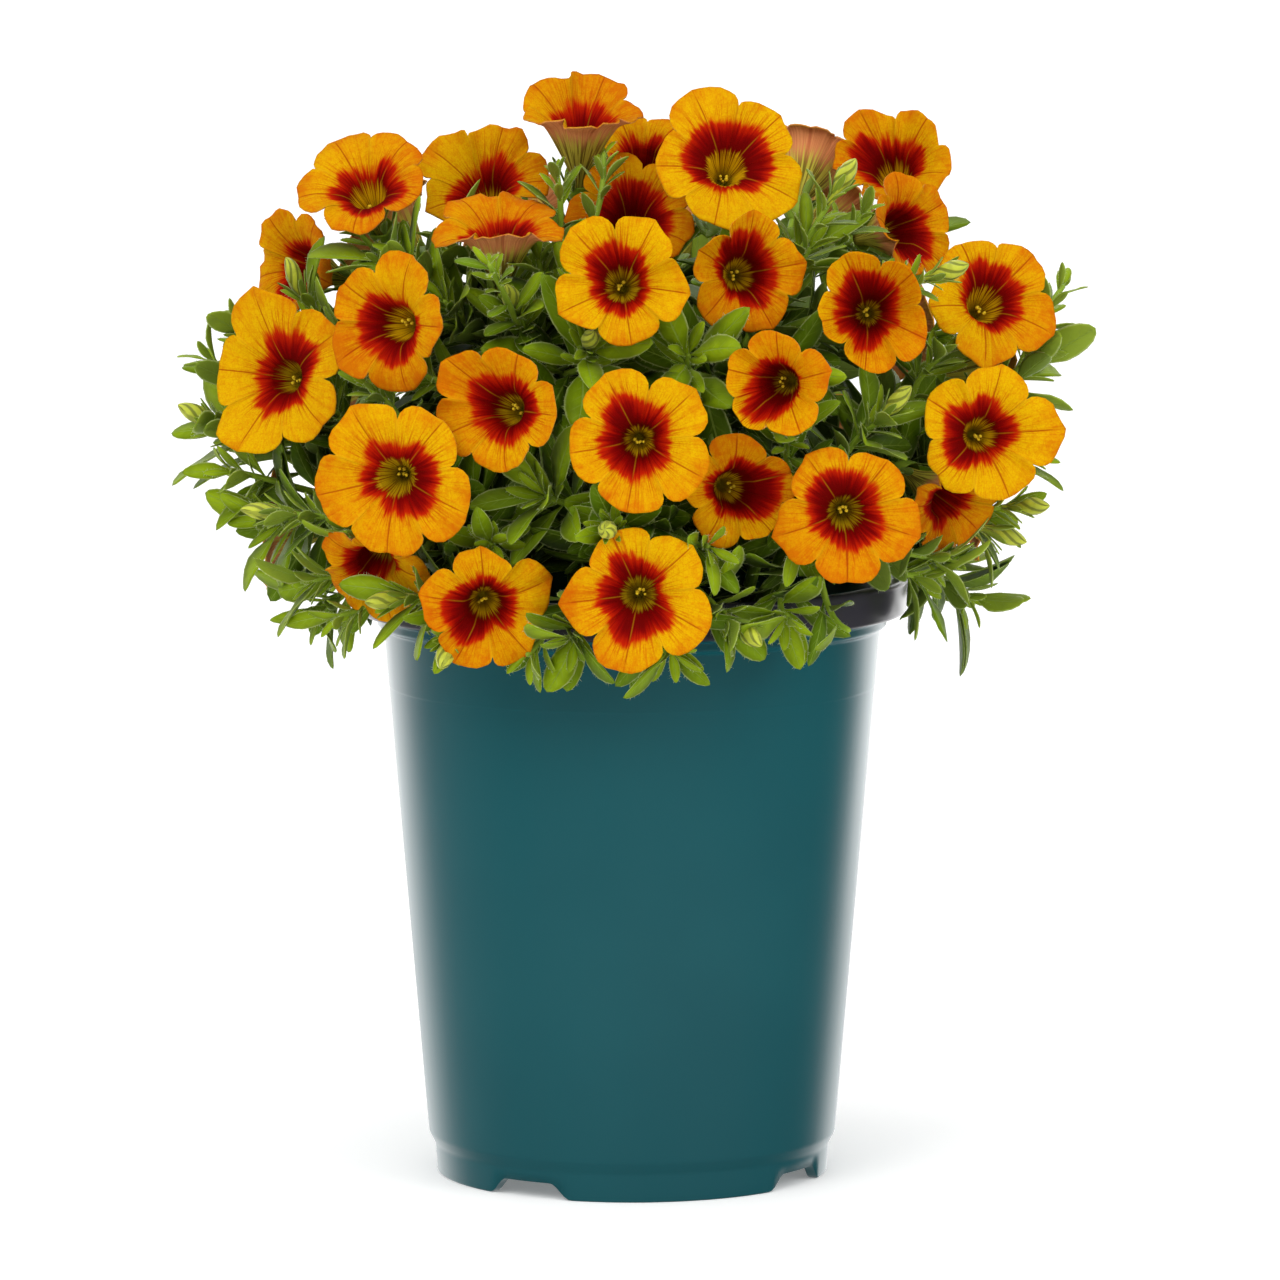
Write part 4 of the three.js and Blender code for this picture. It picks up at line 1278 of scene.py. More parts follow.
class Plant:
    """Where every stem, stalk, shoot, leaf and bloom grows."""

    def __init__(self, solids: Solids) -> None:
        """Grows the whole plant by the seeded rules.

        Args:
            solids: what grew where.
        """
        self.solids = solids
        self.blooms = self.all_blooms()
        self.stems = self.all_stems()
        for bloom in self.blooms:
            self.add_stalk(bloom)
        for index, (tip, count, length) in enumerate(self.shoot_tips()):
            self.add_shoot(tip, count, length, index)
        for stem in self.stems:
            self.dress(stem, stem.rod, stem.index, STEM_LEAVES, STEM_FILLERS)
        for number, (*tip, length) in enumerate(SPARE_SHOOTS):
            self.add_spare_shoot(np.array(tip, float), length, FIRST_SPARE + number)

    @staticmethod
    def node_of(stem: Stem) -> str:
        """The name of a stem's solid."""
        return f"leafy_stem_{stem.index + 1:02d}"

    @staticmethod
    def all_blooms() -> list[Bloom]:
        """The blooms in front, then the rows behind."""
        found = [
            Bloom.at(np.array(centre, float), turn, tip, radius, index)
            for index, (*centre, turn, tip, radius) in enumerate(FRONT_BLOOMS)
        ]
        for first, last, count, height, out, tip, radius in BACK_ROWS:
            for i in range(count):
                draw = Draws(BACK_BLOOM_SEED + len(found))
                turn = first + (last - first) * i / (count - 1) + draw.about(8)
                centre = outward(turn) * (out + draw.about(6))
                centre[2] = height + draw.about(14)
                face_turn = turn + draw.about(30)
                face_tip = tip + draw.about(24)
                found.append(Bloom.at(centre, face_turn, face_tip, radius, len(found)))
        return found

    @staticmethod
    def all_stems() -> list[Stem]:
        """The stems fan out from the crown in rings."""
        found = []
        for count, first, rise, reach, hole in STEM_RINGS:
            for i in range(count):
                turn = first + 360 / count * i
                direction = heading(turn, rise)
                ground = outward(turn) * hole + np.array([0, 0, SOIL_TOP + SOIL_BUMP + 1])
                tip = CROWN + direction * reach
                climb = tip[2] - ground[2]
                knee = ground + np.array([0, 0, max(climb * 0.5, 12)])
                neck = tip + (ground - tip) * 0.3
                neck[2] = tip[2] + (6 if climb < 40 else -8)
                rod = Rod(np.array([ground, knee, neck, tip]), STEM_STEPS)
                found.append(Stem(direction, rod, len(found)))
        return found

    def nearest_stem(self, place: Array) -> Stem:
        """The stem that points most nearly at a place."""
        direction = unit(place - CROWN)
        return max(self.stems, key=lambda stem: float(np.dot(stem.direction, direction)))

    def likest(self, stem: Stem, rods: list[Rod], probes: Callable[[Rod], Array]) -> Rod:
        """The branch whose probes lie on the stem's solid most often."""
        name = self.node_of(stem)
        return max(rods, key=lambda rod: self.solids.hits(name, probes(rod)))

    def add_stalk(self, bloom: Bloom) -> None:
        """Finds the bow that a bloom's stalk grew with, and gives it leaves."""
        base = bloom.centre - bloom.facing * STALK_DEPTH
        stem = self.nearest_stem(base)
        rods = [stem.branch(base, bloom.facing, bow, turn, bloom.side) for bow, turn in BOWS]
        rod = self.likest(stem, rods, lambda rod: rod.probes(BRANCH_RADIUS, STALK_SIDES)[:STALK_PROBES])
        stem.stalks.append((rod, bloom))
        self.dress(stem, rod, bloom.index, STALK_LEAVES, STALK_FILLERS)

    @staticmethod
    def shoot_tips() -> list[tuple[Array, int, float]]:
        """Tip, leaves and leaf length of every leafy shoot."""
        found = [(np.array(tip, float), count, length) for *tip, count, length in FRONT_SHOOTS]
        for first, last, number, height, out, count, length in BACK_SHOOT_ROWS:
            for i in range(number):
                draw = Draws(BACK_SHOOT_SEED + len(found))
                turn = first + (last - first) * i / (number - 1) + draw.about(10)
                tip = outward(turn) * (out + draw.about(8))
                tip[2] = height + draw.about(12)
                found.append((tip, count, length))
        return found

    def add_shoot(self, tip: Array, count: int, length: float, index: int) -> None:
        """Finds the reach and bow that a shoot grew with, and gives it its leaves.

        Args:
            tip: where the shoot ends.
            count: how many leaves its solid has.
            length: their usual length.
            index: the shoot's number; every third one bears a bud.
        """
        stem = self.nearest_stem(tip)
        arrival = unit(tip - CROWN)
        rods = [
            stem.branch(CROWN + (tip - CROWN) * reach, arrival, bow, turn)
            for reach in SHOOT_REACHES for bow, turn in BOWS
        ]
        rod = self.likest(stem, rods, lambda rod: rod.probes(SHOOT_RADIUS, SHOOT_SIDES, SHOOT_TAPER))
        stem.shoots.append((rod, index % BUD_EVERY == 0))
        self.dress(stem, rod, index, SHOOT_LEAVES._replace(count=count), SHOOT_FILLERS, length)

    def add_spare_shoot(self, tip: Array, length: float, index: int) -> None:
        """Grows a shoot that no solid has, along the first bow that crosses nothing.

        Args:
            tip: where the shoot ends.
            length: its leaves' usual length.
            index: the shoot's number; every third one bears a bud, if it is clear.
        """
        stem = self.nearest_stem(tip)
        rods = [stem.branch(tip, unit(tip - CROWN), bow, turn) for bow, turn in BOWS]
        rods = [rod for rod in rods if not any(map(self.solids.crossed, *self.joints(rod)))]
        if rods:
            end, slope = rods[0].at(1), rods[0].towards(1)
            clear = not self.solids.crossed(end, end + slope * BUD_LENGTH)
            stem.shoots.append((rods[0], clear and index % BUD_EVERY == 0))
            self.dress(stem, rods[0], index, None, SHOOT_FILLERS, length)

    @staticmethod
    def joints(rod: Rod) -> tuple[Array, Array]:
        """Where a rod's eight short stretches start and stop."""
        places = rod.curve(np.linspace(0, 1, 9))
        return places[:-1], places[1:]

    def dress(
        self, stem: Stem, rod: Rod, number: int, own: Tuft | None, fillers: list[Tuft], scale: float = 1,
    ) -> None:
        """Gives a rod its leaves.

        Args:
            stem: what the rod belongs to.
            rod: what bears the leaves.
            number: the rod's number.
            own: the row of leaves that the solid may have.
            fillers: the rows that it hasn't.
            scale: what their lengths are multiplied by.
        """
        if own:
            self.keep(stem, own.leaves(rod, number, scale))
        for tuft in fillers:
            self.keep(stem, tuft.leaves(rod, number, scale), extra=True)

    def keep(self, stem: Stem, leaves: list[Leaf], extra: bool = False) -> None:
        """Takes the leaves that the solid has, and others where they cross no bloom.

        Args:
            stem: what they grow on.
            leaves: the leaves to choose from.
            extra: True where the solid has none of them.
        """
        name = self.node_of(stem)
        for leaf in leaves:
            grown = not extra and self.solids.hits(name, leaf.corners()) >= LEAF_CORNERS_SEEN
            if grown or (self.inside(leaf.tip()) and self.free(leaf)):
                stem.leaves.append(leaf)

    def free(self, leaf: Leaf) -> bool:
        """True where a leaf's edges and spine cross neither bloom nor pot."""
        flank = unit(np.cross(leaf.direction, leaf.upper)) * leaf.width / 2
        middle = leaf.root + leaf.direction * leaf.length * 0.6 - leaf.upper * leaf.curl * 0.36
        ways = [(leaf.root, leaf.tip()), (leaf.root, middle + flank), (leaf.root, middle - flank)]
        ways += [(middle + flank, leaf.tip()), (middle - flank, leaf.tip())]
        return not any(self.solids.crossed(start, stop) for start, stop in ways)

    @staticmethod
    def inside(place: Array) -> bool:
        """True inside the plant's own outline and not in front of the bare stretch of rim."""
        x, y, z = place
        bare = BARE_RIM["left"] < x < BARE_RIM["right"] and y < 0 and z < BARE_RIM["top"]
        return np.all(np.abs(place) < OUTLINE) and z > LOWEST_LEAF and not bare


# ---- leaves


@dataclass
class Blades:
    """Leaf blades as closed skins, all worked out together.

    The spine is root + direction L t - upper curl t^2. The half width is
    W/2 sin(pi t^1.35)^0.62, narrowed towards the root. Each half rises from
    the rib by fold |s| and its edge waves a little.
    """

    stations: tuple = (0.05, 0.17, 0.3, 0.44, 0.58, 0.72, 0.85, 0.95)
    columns: tuple = (-1.0, 0.0, 1.0, 0.8, 0.0, -0.8)
    faces: tuple = (1, 1, 1, 0, 0, 0)
    thickness: float = 0.34
    root_part: float = 0.3

    def surface(self, leaves: dict[str, Array], t: Array, s: Array, tall: Array) -> Array:
        """Points of the blades.

        Args:
            leaves: the leaves' numbers by name, one row for each leaf.
            t: how far along, as leaves x points.
            s: how far across, -1 to 1.
            tall: how far above the middle sheet, in mm.

        Returns:
            Leaves x points x 3.
        """
        root, direction, upper = (leaves[k][:, None] for k in ("root", "direction", "upper"))
        length, width, curl, fold, wave, phase = (
            leaves[k][:, None] for k in ("length", "width", "curl", "fold", "wave", "phase"))
        shape = np.clip(np.sin(np.pi * np.clip(t, 0, 1) ** 1.35), 0, 1) ** 0.62
        half = width / 2 * shape * (self.root_part + (1 - self.root_part) * smooth(t, 0, 0.45))
        flank = np.cross(direction, upper)
        lift = half * (fold * np.abs(s) + wave * s * np.sin(phase + 9 * t)) + tall
        bend = unit(upper * length[..., None] + direction * (2 * curl * t)[..., None])
        sway = wave * length * 0.35 * np.sin(np.pi * t) * np.sin(phase * 3)
        spine = root + direction * (length * t)[..., None] - upper * (curl * t**2)[..., None]
        return spine + flank * (s * half + sway)[..., None] + bend * lift[..., None]

    @staticmethod
    def numbers(leaves: list[Leaf], seed: int) -> dict[str, Array]:
        """The leaves' fields as arrays, with a fold, a wave and a phase for each.

        Args:
            leaves: the leaves.
            seed: for the small differences.

        Returns:
            The arrays by name.
        """
        rng = np.random.default_rng(seed)
        names = ("root", "direction", "upper", "length", "width", "curl", "lush")
        found = {name: np.array([getattr(leaf, name) for leaf in leaves], float) for name in names}
        count = len(leaves)
        found["fold"] = rng.uniform(0.05, 0.5, count)
        found["wave"] = rng.uniform(-0.14, 0.14, count)
        found["phase"] = rng.uniform(0, 2 * np.pi, count)
        found["lush"] = np.clip(found["lush"] + rng.normal(0, 0.13, count), 0, 1)
        return found

    def skins(self, leaves: dict[str, Array], paint: int) -> Skins:
        """The closed blades, upper face first in each ring.

        Args:
            leaves: the leaves' numbers by name.
            paint: the number of their finish.

        Returns:
            The blades.
        """
        rings, sides = len(self.stations), len(self.columns)
        t = np.repeat(self.stations, sides)[None]
        s, face = np.tile([self.columns, self.faces], rings)[:, None]
        tall = self.thickness / 2 * np.where(np.abs(s) < 1, 2 * face - 1, 0)
        points = self.surface(leaves, t, s, tall).reshape(-1, rings, sides, 3)
        ends = self.surface(leaves, np.array([[0.0, 1.0]]), np.zeros((1, 2)), np.zeros((1, 2)))
        marks = {
            "across": self.columns,
            "along": np.array(self.stations)[:, None],
            "face": self.faces,
            "age": leaves["lush"][:, None, None],
        }
        return Skins(points, ends[:, 0], ends[:, 1], marks, paint)


@dataclass
class Down:
    """Fine tapered hairs, each a closed three-sided needle."""

    radius: float = 0.035
    length: float = 0.75
    sunk: float = 0.05
    per_margin: int = 9
    joints: int = 24

    def needles(self, roots: Array, directions: Array, lengths: Array) -> Skins:
        """Needles from roots along directions: one ring low down, then a point."""
        across = unit(np.cross(directions, LEANING_AXIS))
        up = np.cross(across, directions)
        rings = tube_rings(roots[:, None], across[:, None], up[:, None], self.radius, 3)
        return Skins(rings, roots - directions * self.sunk, roots + directions * lengths[:, None])

    def on_leaves(self, blades: Blades, leaves: dict[str, Array], rng: Random) -> Skins:
        """Hairs on both margins of leaves.

        Args:
            blades: the form of the leaves.
            leaves: their numbers by name.
            rng: for the hairs' places and turns.

        Returns:
            The hairs.
        """
        shape = (len(leaves["length"]), 2 * self.per_margin)
        t = rng.uniform(0.12, 0.97, shape)
        s = np.tile([-1.0, 1.0], self.per_margin)[None]
        roots = blades.surface(leaves, t, s * 0.99, np.zeros_like(t))
        along = leaves["direction"][:, None]
        flank = np.cross(along, leaves["upper"][:, None])
        directions = flank * s[..., None] + 0.45 * along + rng.normal(0, 0.3, roots.shape)
        lengths = self.length * rng.uniform(0.5, 1.1, shape)
        return self.needles(roots.reshape(-1, 3), unit(directions).reshape(-1, 3), lengths.ravel())

    def on_rods(self, rods: list[Rod], radii: tuple, per_rod: int, rng: Random) -> Skins:
        """Hairs all round rods.

        Args:
            rods: what bears them.
            radii: their radius at the root and at the end.
            per_rod: how many hairs each has.
            rng: for their places and turns.

        Returns:
            The hairs.
        """
        shape = (len(rods), per_rod)
        places, sides, ups = frames_of(rods, self.joints + 1)
        pick = rng.integers(0, self.joints, shape)
        part = rng.uniform(0, 1, (*shape, 1))
        row = np.arange(len(rods))[:, None]
        angle = rng.uniform(0, 2 * np.pi, (*shape, 1))
        across = sides[row, pick] * np.cos(angle) + ups[row, pick] * np.sin(angle)
        centre = places[row, pick] * (1 - part) + places[row, pick + 1] * part
        radius = radii[0] + (radii[1] - radii[0]) * ((pick[..., None] + part) / self.joints)
        roots = centre + across * radius * 0.95
        directions = unit(across + rng.normal(0, 0.25, across.shape))
        lengths = self.length * rng.uniform(0.5, 1.1, shape)
        return self.needles(roots.reshape(-1, 3), directions.reshape(-1, 3), lengths.ravel())


# ---- leafy stems


@dataclass
class Foliage:
    """The leafy stems with stalks, calyces, buds, leaves and down.

    Attributes:
        stem_radii, stalk_radii, shoot_radii: at the root and at the end.
        sepal_length, sepal_width: of the five free sepals.
        cup: reach and depth of the calyx, outside and then inside.
        cup_ends: the depth of its end points.
        bud: place along a bud, and radius there.
    """

    finishes: list[Material]
    down: Material
    stem_radii: tuple = (1.55, 1.0)
    stalk_radii: tuple = (0.85, 0.7)
    shoot_radii: tuple = (1.05, 0.6)
    sepal_length: float = 8.5
    sepal_width: float = 1.9
    cup: tuple = (
        (0.75, 21.6), (1.5, 20.7), (2.3, 19.3), (2.75, 17.6), (2.95, 16.4), (2.7, 16.3), (2.3, 17.4))
    cup_ends: tuple = (21.8, 19.0)
    bud: tuple = ((0, 0.65), (1.6, 0.8), (3.6, 1.25), (6.2, 1.95), (8.6, 1.95), (10.6, 1.2), (11.7, 0.4))
    blades: Blades = field(default_factory=Blades)
    hairs: Down = field(default_factory=Down)

    def rods(self, rods: list[Rod], radii: tuple, age: float, count: int, sides: int) -> Skins:
        """Smooth tapered tubes along rods, closed by a point at each end.

        Args:
            rods: the stems, stalks or shoots.
            radii: their radius at the root and at the end.
            age: their tone, from pale (0) to deep (1).
            count: rings of a tube.
            sides: points of a ring.

        Returns:
            The tubes.
        """
        places, across, ups = frames_of(rods, count)
        rings = tube_rings(places, across, ups, np.linspace(*radii, count), sides)
        ends = [rod.handles[3] + rod.slope(1.0) * radii[1] * 1.5 for rod in rods]
        along = np.linspace(0, 1, count)[:, None]
        marks = {"age": age, "across": np.arange(sides) / sides, "along": along}
        return Skins(rings, places[:, 0], np.reshape(ends, (-1, 3)), marks)

    def buried(self, stem: Stem) -> Skins:
        """The straight stretch of a stem in the soil."""
        top = stem.rod.curve(0.0)
        places = np.array([[top * [1, 1, 0] + [0, 0, SOIL_TOP - HOLE_DEPTH + 0.6], top]])
        rings = tube_rings(places, EAST, NORTH, self.stem_radii[0], 8)
        return Skins(rings, places[:, 0] - [0, 0, 0.4], places[:, 1] + [0, 0, 0.5], {"age": 1.0})

    def calyces(self, blooms: list[Bloom]) -> Skins:
        """The cups that the corolla tubes stand in.

        Args:
            blooms: the blooms of one stem.

        Returns:
            The cups.
        """
        profile = flowing(self.cup, 13)
        turns = np.arange(15) * 24.0
        reach = profile[:, :1] * (1 + 0.06 * np.cos(np.radians(turns) * 5))
        rings = [bloom.on_face(turns, reach, profile[:, 1:]) for bloom in blooms]
        start, end = (
            np.reshape([bloom.on_face(0.0, 0.0, depth) for bloom in blooms], (-1, 3))
            for depth in self.cup_ends
        )
        marks = {"age": 0.45, "across": turns / 360}
        return Skins(np.reshape(rings, (-1, *reach.shape, 3)), start, end, marks)

    def sepals(self, blooms: list[Bloom]) -> list[Leaf]:
        """Five narrow sepals that spread from each cup.

        Args:
            blooms: the blooms of one stem.

        Returns:
            The sepals, as leaves.
        """
        found = []
        for bloom in blooms:
            draw = Draws(6000 + bloom.index)
            for lobe in range(5):
                degrees = 72.0 * lobe + draw.about(14)
                root = bloom.on_face(degrees, 2.3, 18.2)
                away = unit(bloom.on_face(degrees, 1.0, 0.0) - bloom.centre)
                ways = spread(bloom.facing, away, math.radians(draw.within(14, 22)))
                length = self.sepal_length * draw.within(0.85, 0.3)
                found.append(Leaf(root, *ways, length, self.sepal_width, length * 0.16 * draw(), 0.35))
        return found

    def buds(self, rods: list[Rod]) -> Skins:
        """Club-shaped buds at shoot ends, with five soft folds.

        The radius follows the profile, times 1 + 0.09 cos(5 angle - 0.2 along).

        Args:
            rods: the shoots that bear a bud.

        Returns:
            The buds.
        """
        profile = flowing(self.bud, 12)
        along, radius = profile[:, :1], profile[:, 1:]
        angle = 2 * np.pi * np.arange(10) / 10
        reach = radius * (1 + 0.09 * np.cos(5 * angle - along * 0.2))
        rings, starts, ends = [], [], []
        for rod in rods:
            side, slope = rod.frames(5)[1][-1], rod.towards(1)
            up = np.cross(side, slope)
            across = side * np.cos(angle)[:, None] + up * np.sin(angle)[:, None]
            rings.append((rod.at(1) + slope * along)[:, None] + across[None] * reach[..., None])
            starts.append(rod.at(1) - slope * 0.3)
            ends.append(rod.at(1) + slope * BUD_LENGTH)
        marks = {"across": angle / (2 * np.pi), "along": along}
        return Skins(
            np.reshape(rings, (-1, *reach.shape, 3)), np.reshape(starts, (-1, 3)), np.reshape(ends, (-1, 3)),
            marks, 2)

    def bud_sepals(self, rods: list[Rod], seed: int) -> list[Leaf]:
        """Five narrow sepals that hold each bud.

        Args:
            rods: the shoots that bear a bud.
            seed: for the small differences.

        Returns:
            The sepals, as leaves.
        """
        found = []
        for number, rod in enumerate(rods):
            draw = Draws(seed + number)
            slope, end = rod.towards(1), rod.at(1)
            for lobe in range(5):
                away = around(slope, 72 * lobe + draw() * 20)
                ways = spread(slope, away, math.radians(draw.within(16, 12)))
                found.append(Leaf(end + slope * 0.4, *ways, draw.within(7.5, 2), 1.5, 0.4, 0.25))
        return found

    def build(self, plant: Plant) -> None:
        """Builds one leafage piece and one down piece for each stem."""
        for stem in plant.stems:
            self.build_stem(stem, Plant.node_of(stem))

    def build_stem(self, stem: Stem, node: str) -> None:
        """Builds a leafy stem and its down.

        Args:
            stem: the stem with all that grows on it.
            node: the solid that the leafy stem stands for.
        """
        blooms = [bloom for _, bloom in stem.stalks]
        budded = [rod for rod, bud in stem.shoots if bud]
        stalks, shoots = [rod for rod, _ in stem.stalks], [rod for rod, _ in stem.shoots]
        small = self.sepals(blooms) + self.bud_sepals(budded, 6500 + 10 * stem.index)
        leaves = self.blades.numbers(stem.leaves, 7000 + stem.index)
        reach = self.reach(stem.leaves)
        leaves["lush"] = np.clip(leaves["lush"] - 0.2 * smooth(reach, 0.7, 1.0), 0, 1)
        sepals = self.blades.numbers(small, 7100 + stem.index)
        groups = [
            self.rods([stem.rod], self.stem_radii, 0.7, 28, 10),
            self.buried(stem),
            self.rods(stalks, self.stalk_radii, 0.3, 14, 8),
            self.rods(shoots, self.shoot_radii, 0.3, 14, 8),
            self.calyces(blooms),
            self.blades.skins(leaves, 1),
            self.blades.skins(sepals, 1),
            self.buds(budded),
        ]
        number = f"{stem.index + 1:02d}"
        piece = make_piece(f"leafage_{number}", groups, self.finishes)
        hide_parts(node)
        rng = np.random.default_rng(8000 + stem.index)
        outer = reach > DOWNY_FROM
        fine = [
            self.hairs.on_leaves(self.blades, {name: rows[outer] for name, rows in leaves.items()}, rng),
            self.hairs.on_rods([stem.rod], self.stem_radii, 160, rng),
            self.hairs.on_rods(shoots, self.shoot_radii, 60, rng),
            self.hairs.on_rods(stalks, self.stalk_radii, 60, rng),
        ]
        down = make_piece(f"down_{number}", fine, [self.down])

    @staticmethod
    def reach(leaves: list[Leaf]) -> Array:
        """How far out the leaves' tips are: 0 at the crown, 1 at the plant's outline."""
        reach = (np.array([leaf.tip() for leaf in leaves]) - CROWN) / (OUTLINE - [0, 0, CROWN[2]])
        return np.linalg.norm(reach, axis=1)


# ---- blooms


@dataclass
class Corollas:
    """The blooms: funnels with five rounded lobes on a slim tube.

    A ring's reach runs along the throat's profile and then out to the rim.
    The rim is notch + (size - notch) (1 - |turn from the lobe's middle|^p)^0.55
    of the radius, with each lobe's own size, and with p from 2.3, a round
    lobe, to 3.4, a nearly square one.

    Attributes:
        columns: points round a lobe, from notch to notch.
        throat: reach and depth of the wall inside, up to the flare.
        tube: reach and depth of the wall outside, from the flare down.
        notch: reach of a notch, as a share of the radius.
        thickness: of the petal.
        wave: how far the rim's waves go from one side to the other.
    """

    finish: Material
    pollen: Material
    columns: tuple = (
        -1, -0.955, -0.87, -0.74, -0.56, -0.36, -0.16, 0.0, 0.16, 0.36, 0.56, 0.74, 0.87, 0.955)
    throat: tuple = ((0.8, 14.8), (1.35, 12.6), (2.2, 10.4), (3.1, 8.3), (3.6, 6.7), (4.1, 5.3))
    flare: tuple = ((0.38, 3.4), (0.56, 1.75), (0.74, 0.75), (0.9, 0.2))
    tube: tuple = ((4.3, 9.2), (3.3, 11.2), (2.3, 13.6), (1.75, 15.8), (1.55, 17.2), (1.2, 18.5))
    notch: float = 0.75
    thickness: float = 0.36
    wave: float = 2.0

    def build(self, blooms: list[Bloom]) -> None:
        """Builds one corolla piece for each bloom, and all anthers as one piece."""
        for bloom in blooms:
            number = f"{bloom.index + 1:02d}"
            piece = make_piece(f"corolla_{number}", [self.skin(bloom)], [self.finish])
            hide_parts(f"bloom_{number}")
        anthers = make_piece("anthers", [self.anthers(blooms)], [self.pollen])

    def skin(self, bloom: Bloom) -> Skins:
        """One corolla as a closed skin: throat, flare, rim and back down the tube.

        Args:
            bloom: the bloom.

        Returns:
            The skin.
        """
        draw = Draws(900 + bloom.index)
        rim_waves = np.array([draw.about(self.wave) for _ in range(15)])
        rng = np.random.default_rng(9000 + bloom.index)
        lobe = np.repeat(np.arange(5), len(self.columns))
        lateral = np.tile(self.columns, 5)
        degrees = 72.0 * lobe + 36 + 36 * lateral
        wild = self.wildness(bloom)
        raised = self.lift(bloom, degrees)
        outline = self.outline(lateral, lobe, wild, rng) * (1 - 0.03 * raised)
        rows, inner = self.inner_profile(bloom.radius)
        reach = np.where(rows[:, :1] > 0, rows[:, 1:2] * (1 + (outline - 1) * rows[:, :1]), rows[:, 1:2])
        out = reach / bloom.radius
        relief = self.relief(degrees, lateral, lobe, out, rim_waves, wild, rng)
        depth = rows[:, 2:3] + relief - raised * (rows[:, 1:2] / bloom.radius) ** 2
        back_depth = depth + self.thickness
        back_depth = np.maximum(back_depth, self.back_wall(reach, back_depth))
        tube = flowing(self.tube, 9)[..., None] * np.ones(len(lateral))
        hull = slice(None, inner, -1)
        reaches = np.concatenate([reach, reach[hull], tube[:, 0]])
        depths = np.concatenate([depth, back_depth[hull], tube[:, 1]])
        face = np.arange(len(reaches)) < len(reach)
        turns = np.broadcast_to(degrees, reaches.shape)
        rings = bloom.on_face(turns, reaches, depths)[None]
        start = bloom.on_face(0.0, 0.0, self.throat[0][1] + 0.6)
        end = bloom.on_face(0.0, 0.0, self.tube[-1][1] + 0.35)
        middle = np.radians(36 * lateral)
        hue = (bloom.index in ORANGE_BLOOMS) - (bloom.index in YELLOW_BLOOMS)
        stain = self.stain(np.radians(degrees), lobe, 0.03 * (hue > 0), rng)
        tone = rng.uniform(0.0, 0.4) + 0.2 * hue + 0.22 * np.cos(np.radians(degrees) - rng.uniform(0, 6.3))
        marks = {
            "tone": tone,
            # painted light: the throat is painted brighter the more the bloom faces up
            "lit": min(1.0, rng.uniform(0.1, 0.8) + max(bloom.facing[2], 0) * 1.3),
            "stain": stain,
            "bore": rng.uniform(-0.035, 0.05),
            "reach": reaches / bloom.radius,
            "rib": reaches * np.sin(middle),
            "crease": reaches * np.sin(np.radians(36) - np.abs(middle)),
            "ray_x": np.cos(np.radians(degrees)),
            "ray_y": np.sin(np.radians(degrees)),
            "number": 5.0 * bloom.index,
            "face": face[:, None],
        }
        return Skins(rings, start[None], end[None], marks)

    @staticmethod
    def stain(angle: Array, lobe: Array, wider: float, rng: Random) -> Array:
        """How much further the red reaches at each turn.

        It leans to one side, is oval, follows the five ribs a little way out
        and differs from lobe to lobe.
        """
        lean = 0.1 * np.cos(angle - rng.uniform(0, 6.3)) + 0.06 * np.cos(2 * angle - rng.uniform(0, 6.3))
        own = rng.uniform(-0.03, 0.03, 5)[lobe] * (1 - np.cos(5 * angle)) / 2
        return wider + rng.uniform(-0.03, 0.04) + lean - 0.03 * np.cos(5 * angle) + own

    @staticmethod
    def wildness(bloom: Bloom) -> float:
        """How strongly a bloom's lobes twist: about 1, and more on the folded blooms."""
        return (0.55 + 0.85 * Draws(9300 + bloom.index)()) * (1.75 if bloom.index in FOLDED_BLOOMS else 1.0)

    @staticmethod
    def lift(bloom: Bloom, degrees: Array) -> Array:
        """How far the rim stands up on a bloom's lifted sides, at each turn."""
        angle = np.radians(degrees)[:, None]
        across = bloom.side * np.cos(angle) + bloom.up * np.sin(angle)
        lifts = [
            height * np.clip(across @ unit(np.array(towards, float)), 0, 1) ** 1.5
            for index, towards, height in LIFTED_LOBES if index == bloom.index
        ]
        return sum(lifts, np.zeros_like(degrees))

    def outline(self, lateral: Array, lobe: Array, wild: float, rng: Random) -> Array:
        """The rim's reach as a share of the radius, each lobe a little its own.

        Args:
            lateral: the columns' places in their lobes, -1 to 1.
            lobe: the columns' lobes.
            wild: how strongly the lobes twist.
            rng: for the lobes' own forms.

        Returns:
            The reach of each column.
        """
        size = rng.uniform(0.9, 1.07, 5)[lobe]
        lean = wild * rng.uniform(-0.08, 0.08, 5)[lobe]
        dent = rng.uniform(-0.075, 0.035, 5)[lobe]
        beat, phase = rng.uniform(5, 9, 5)[lobe], rng.uniform(0, 6, 5)[lobe]
        bulge = (1 - np.abs(lateral) ** rng.uniform(2.3, 3.4)) ** 0.55
        rim = self.notch + (size - self.notch) * bulge
        nibble = 0.017 * np.sin(beat * lateral + phase) * bulge
        return rim * (1 + lean * lateral * bulge) - dent * np.exp(-((lateral / 0.17) ** 2)) + nibble

    def inner_profile(self, radius: float) -> tuple[Array, int]:
        """The inner wall from the throat out to the rim.

        Args:
            radius: the bloom's radius.

        Returns:
            Rows of (share of the rim's outline, reach, depth), and the first
            row of the flare, from which the back follows the front.
        """
        flare = [(share * radius, depth) for share, depth in self.flare]
        path = flowing([*self.throat, *flare, (radius, 0.0)], 26)
        share = smooth(path[:, 0] / radius, 0.3, 1.0)
        first = int(np.searchsorted(path[:, 0], self.tube[0][0] + 0.4))
        return np.column_stack([share, path]), first

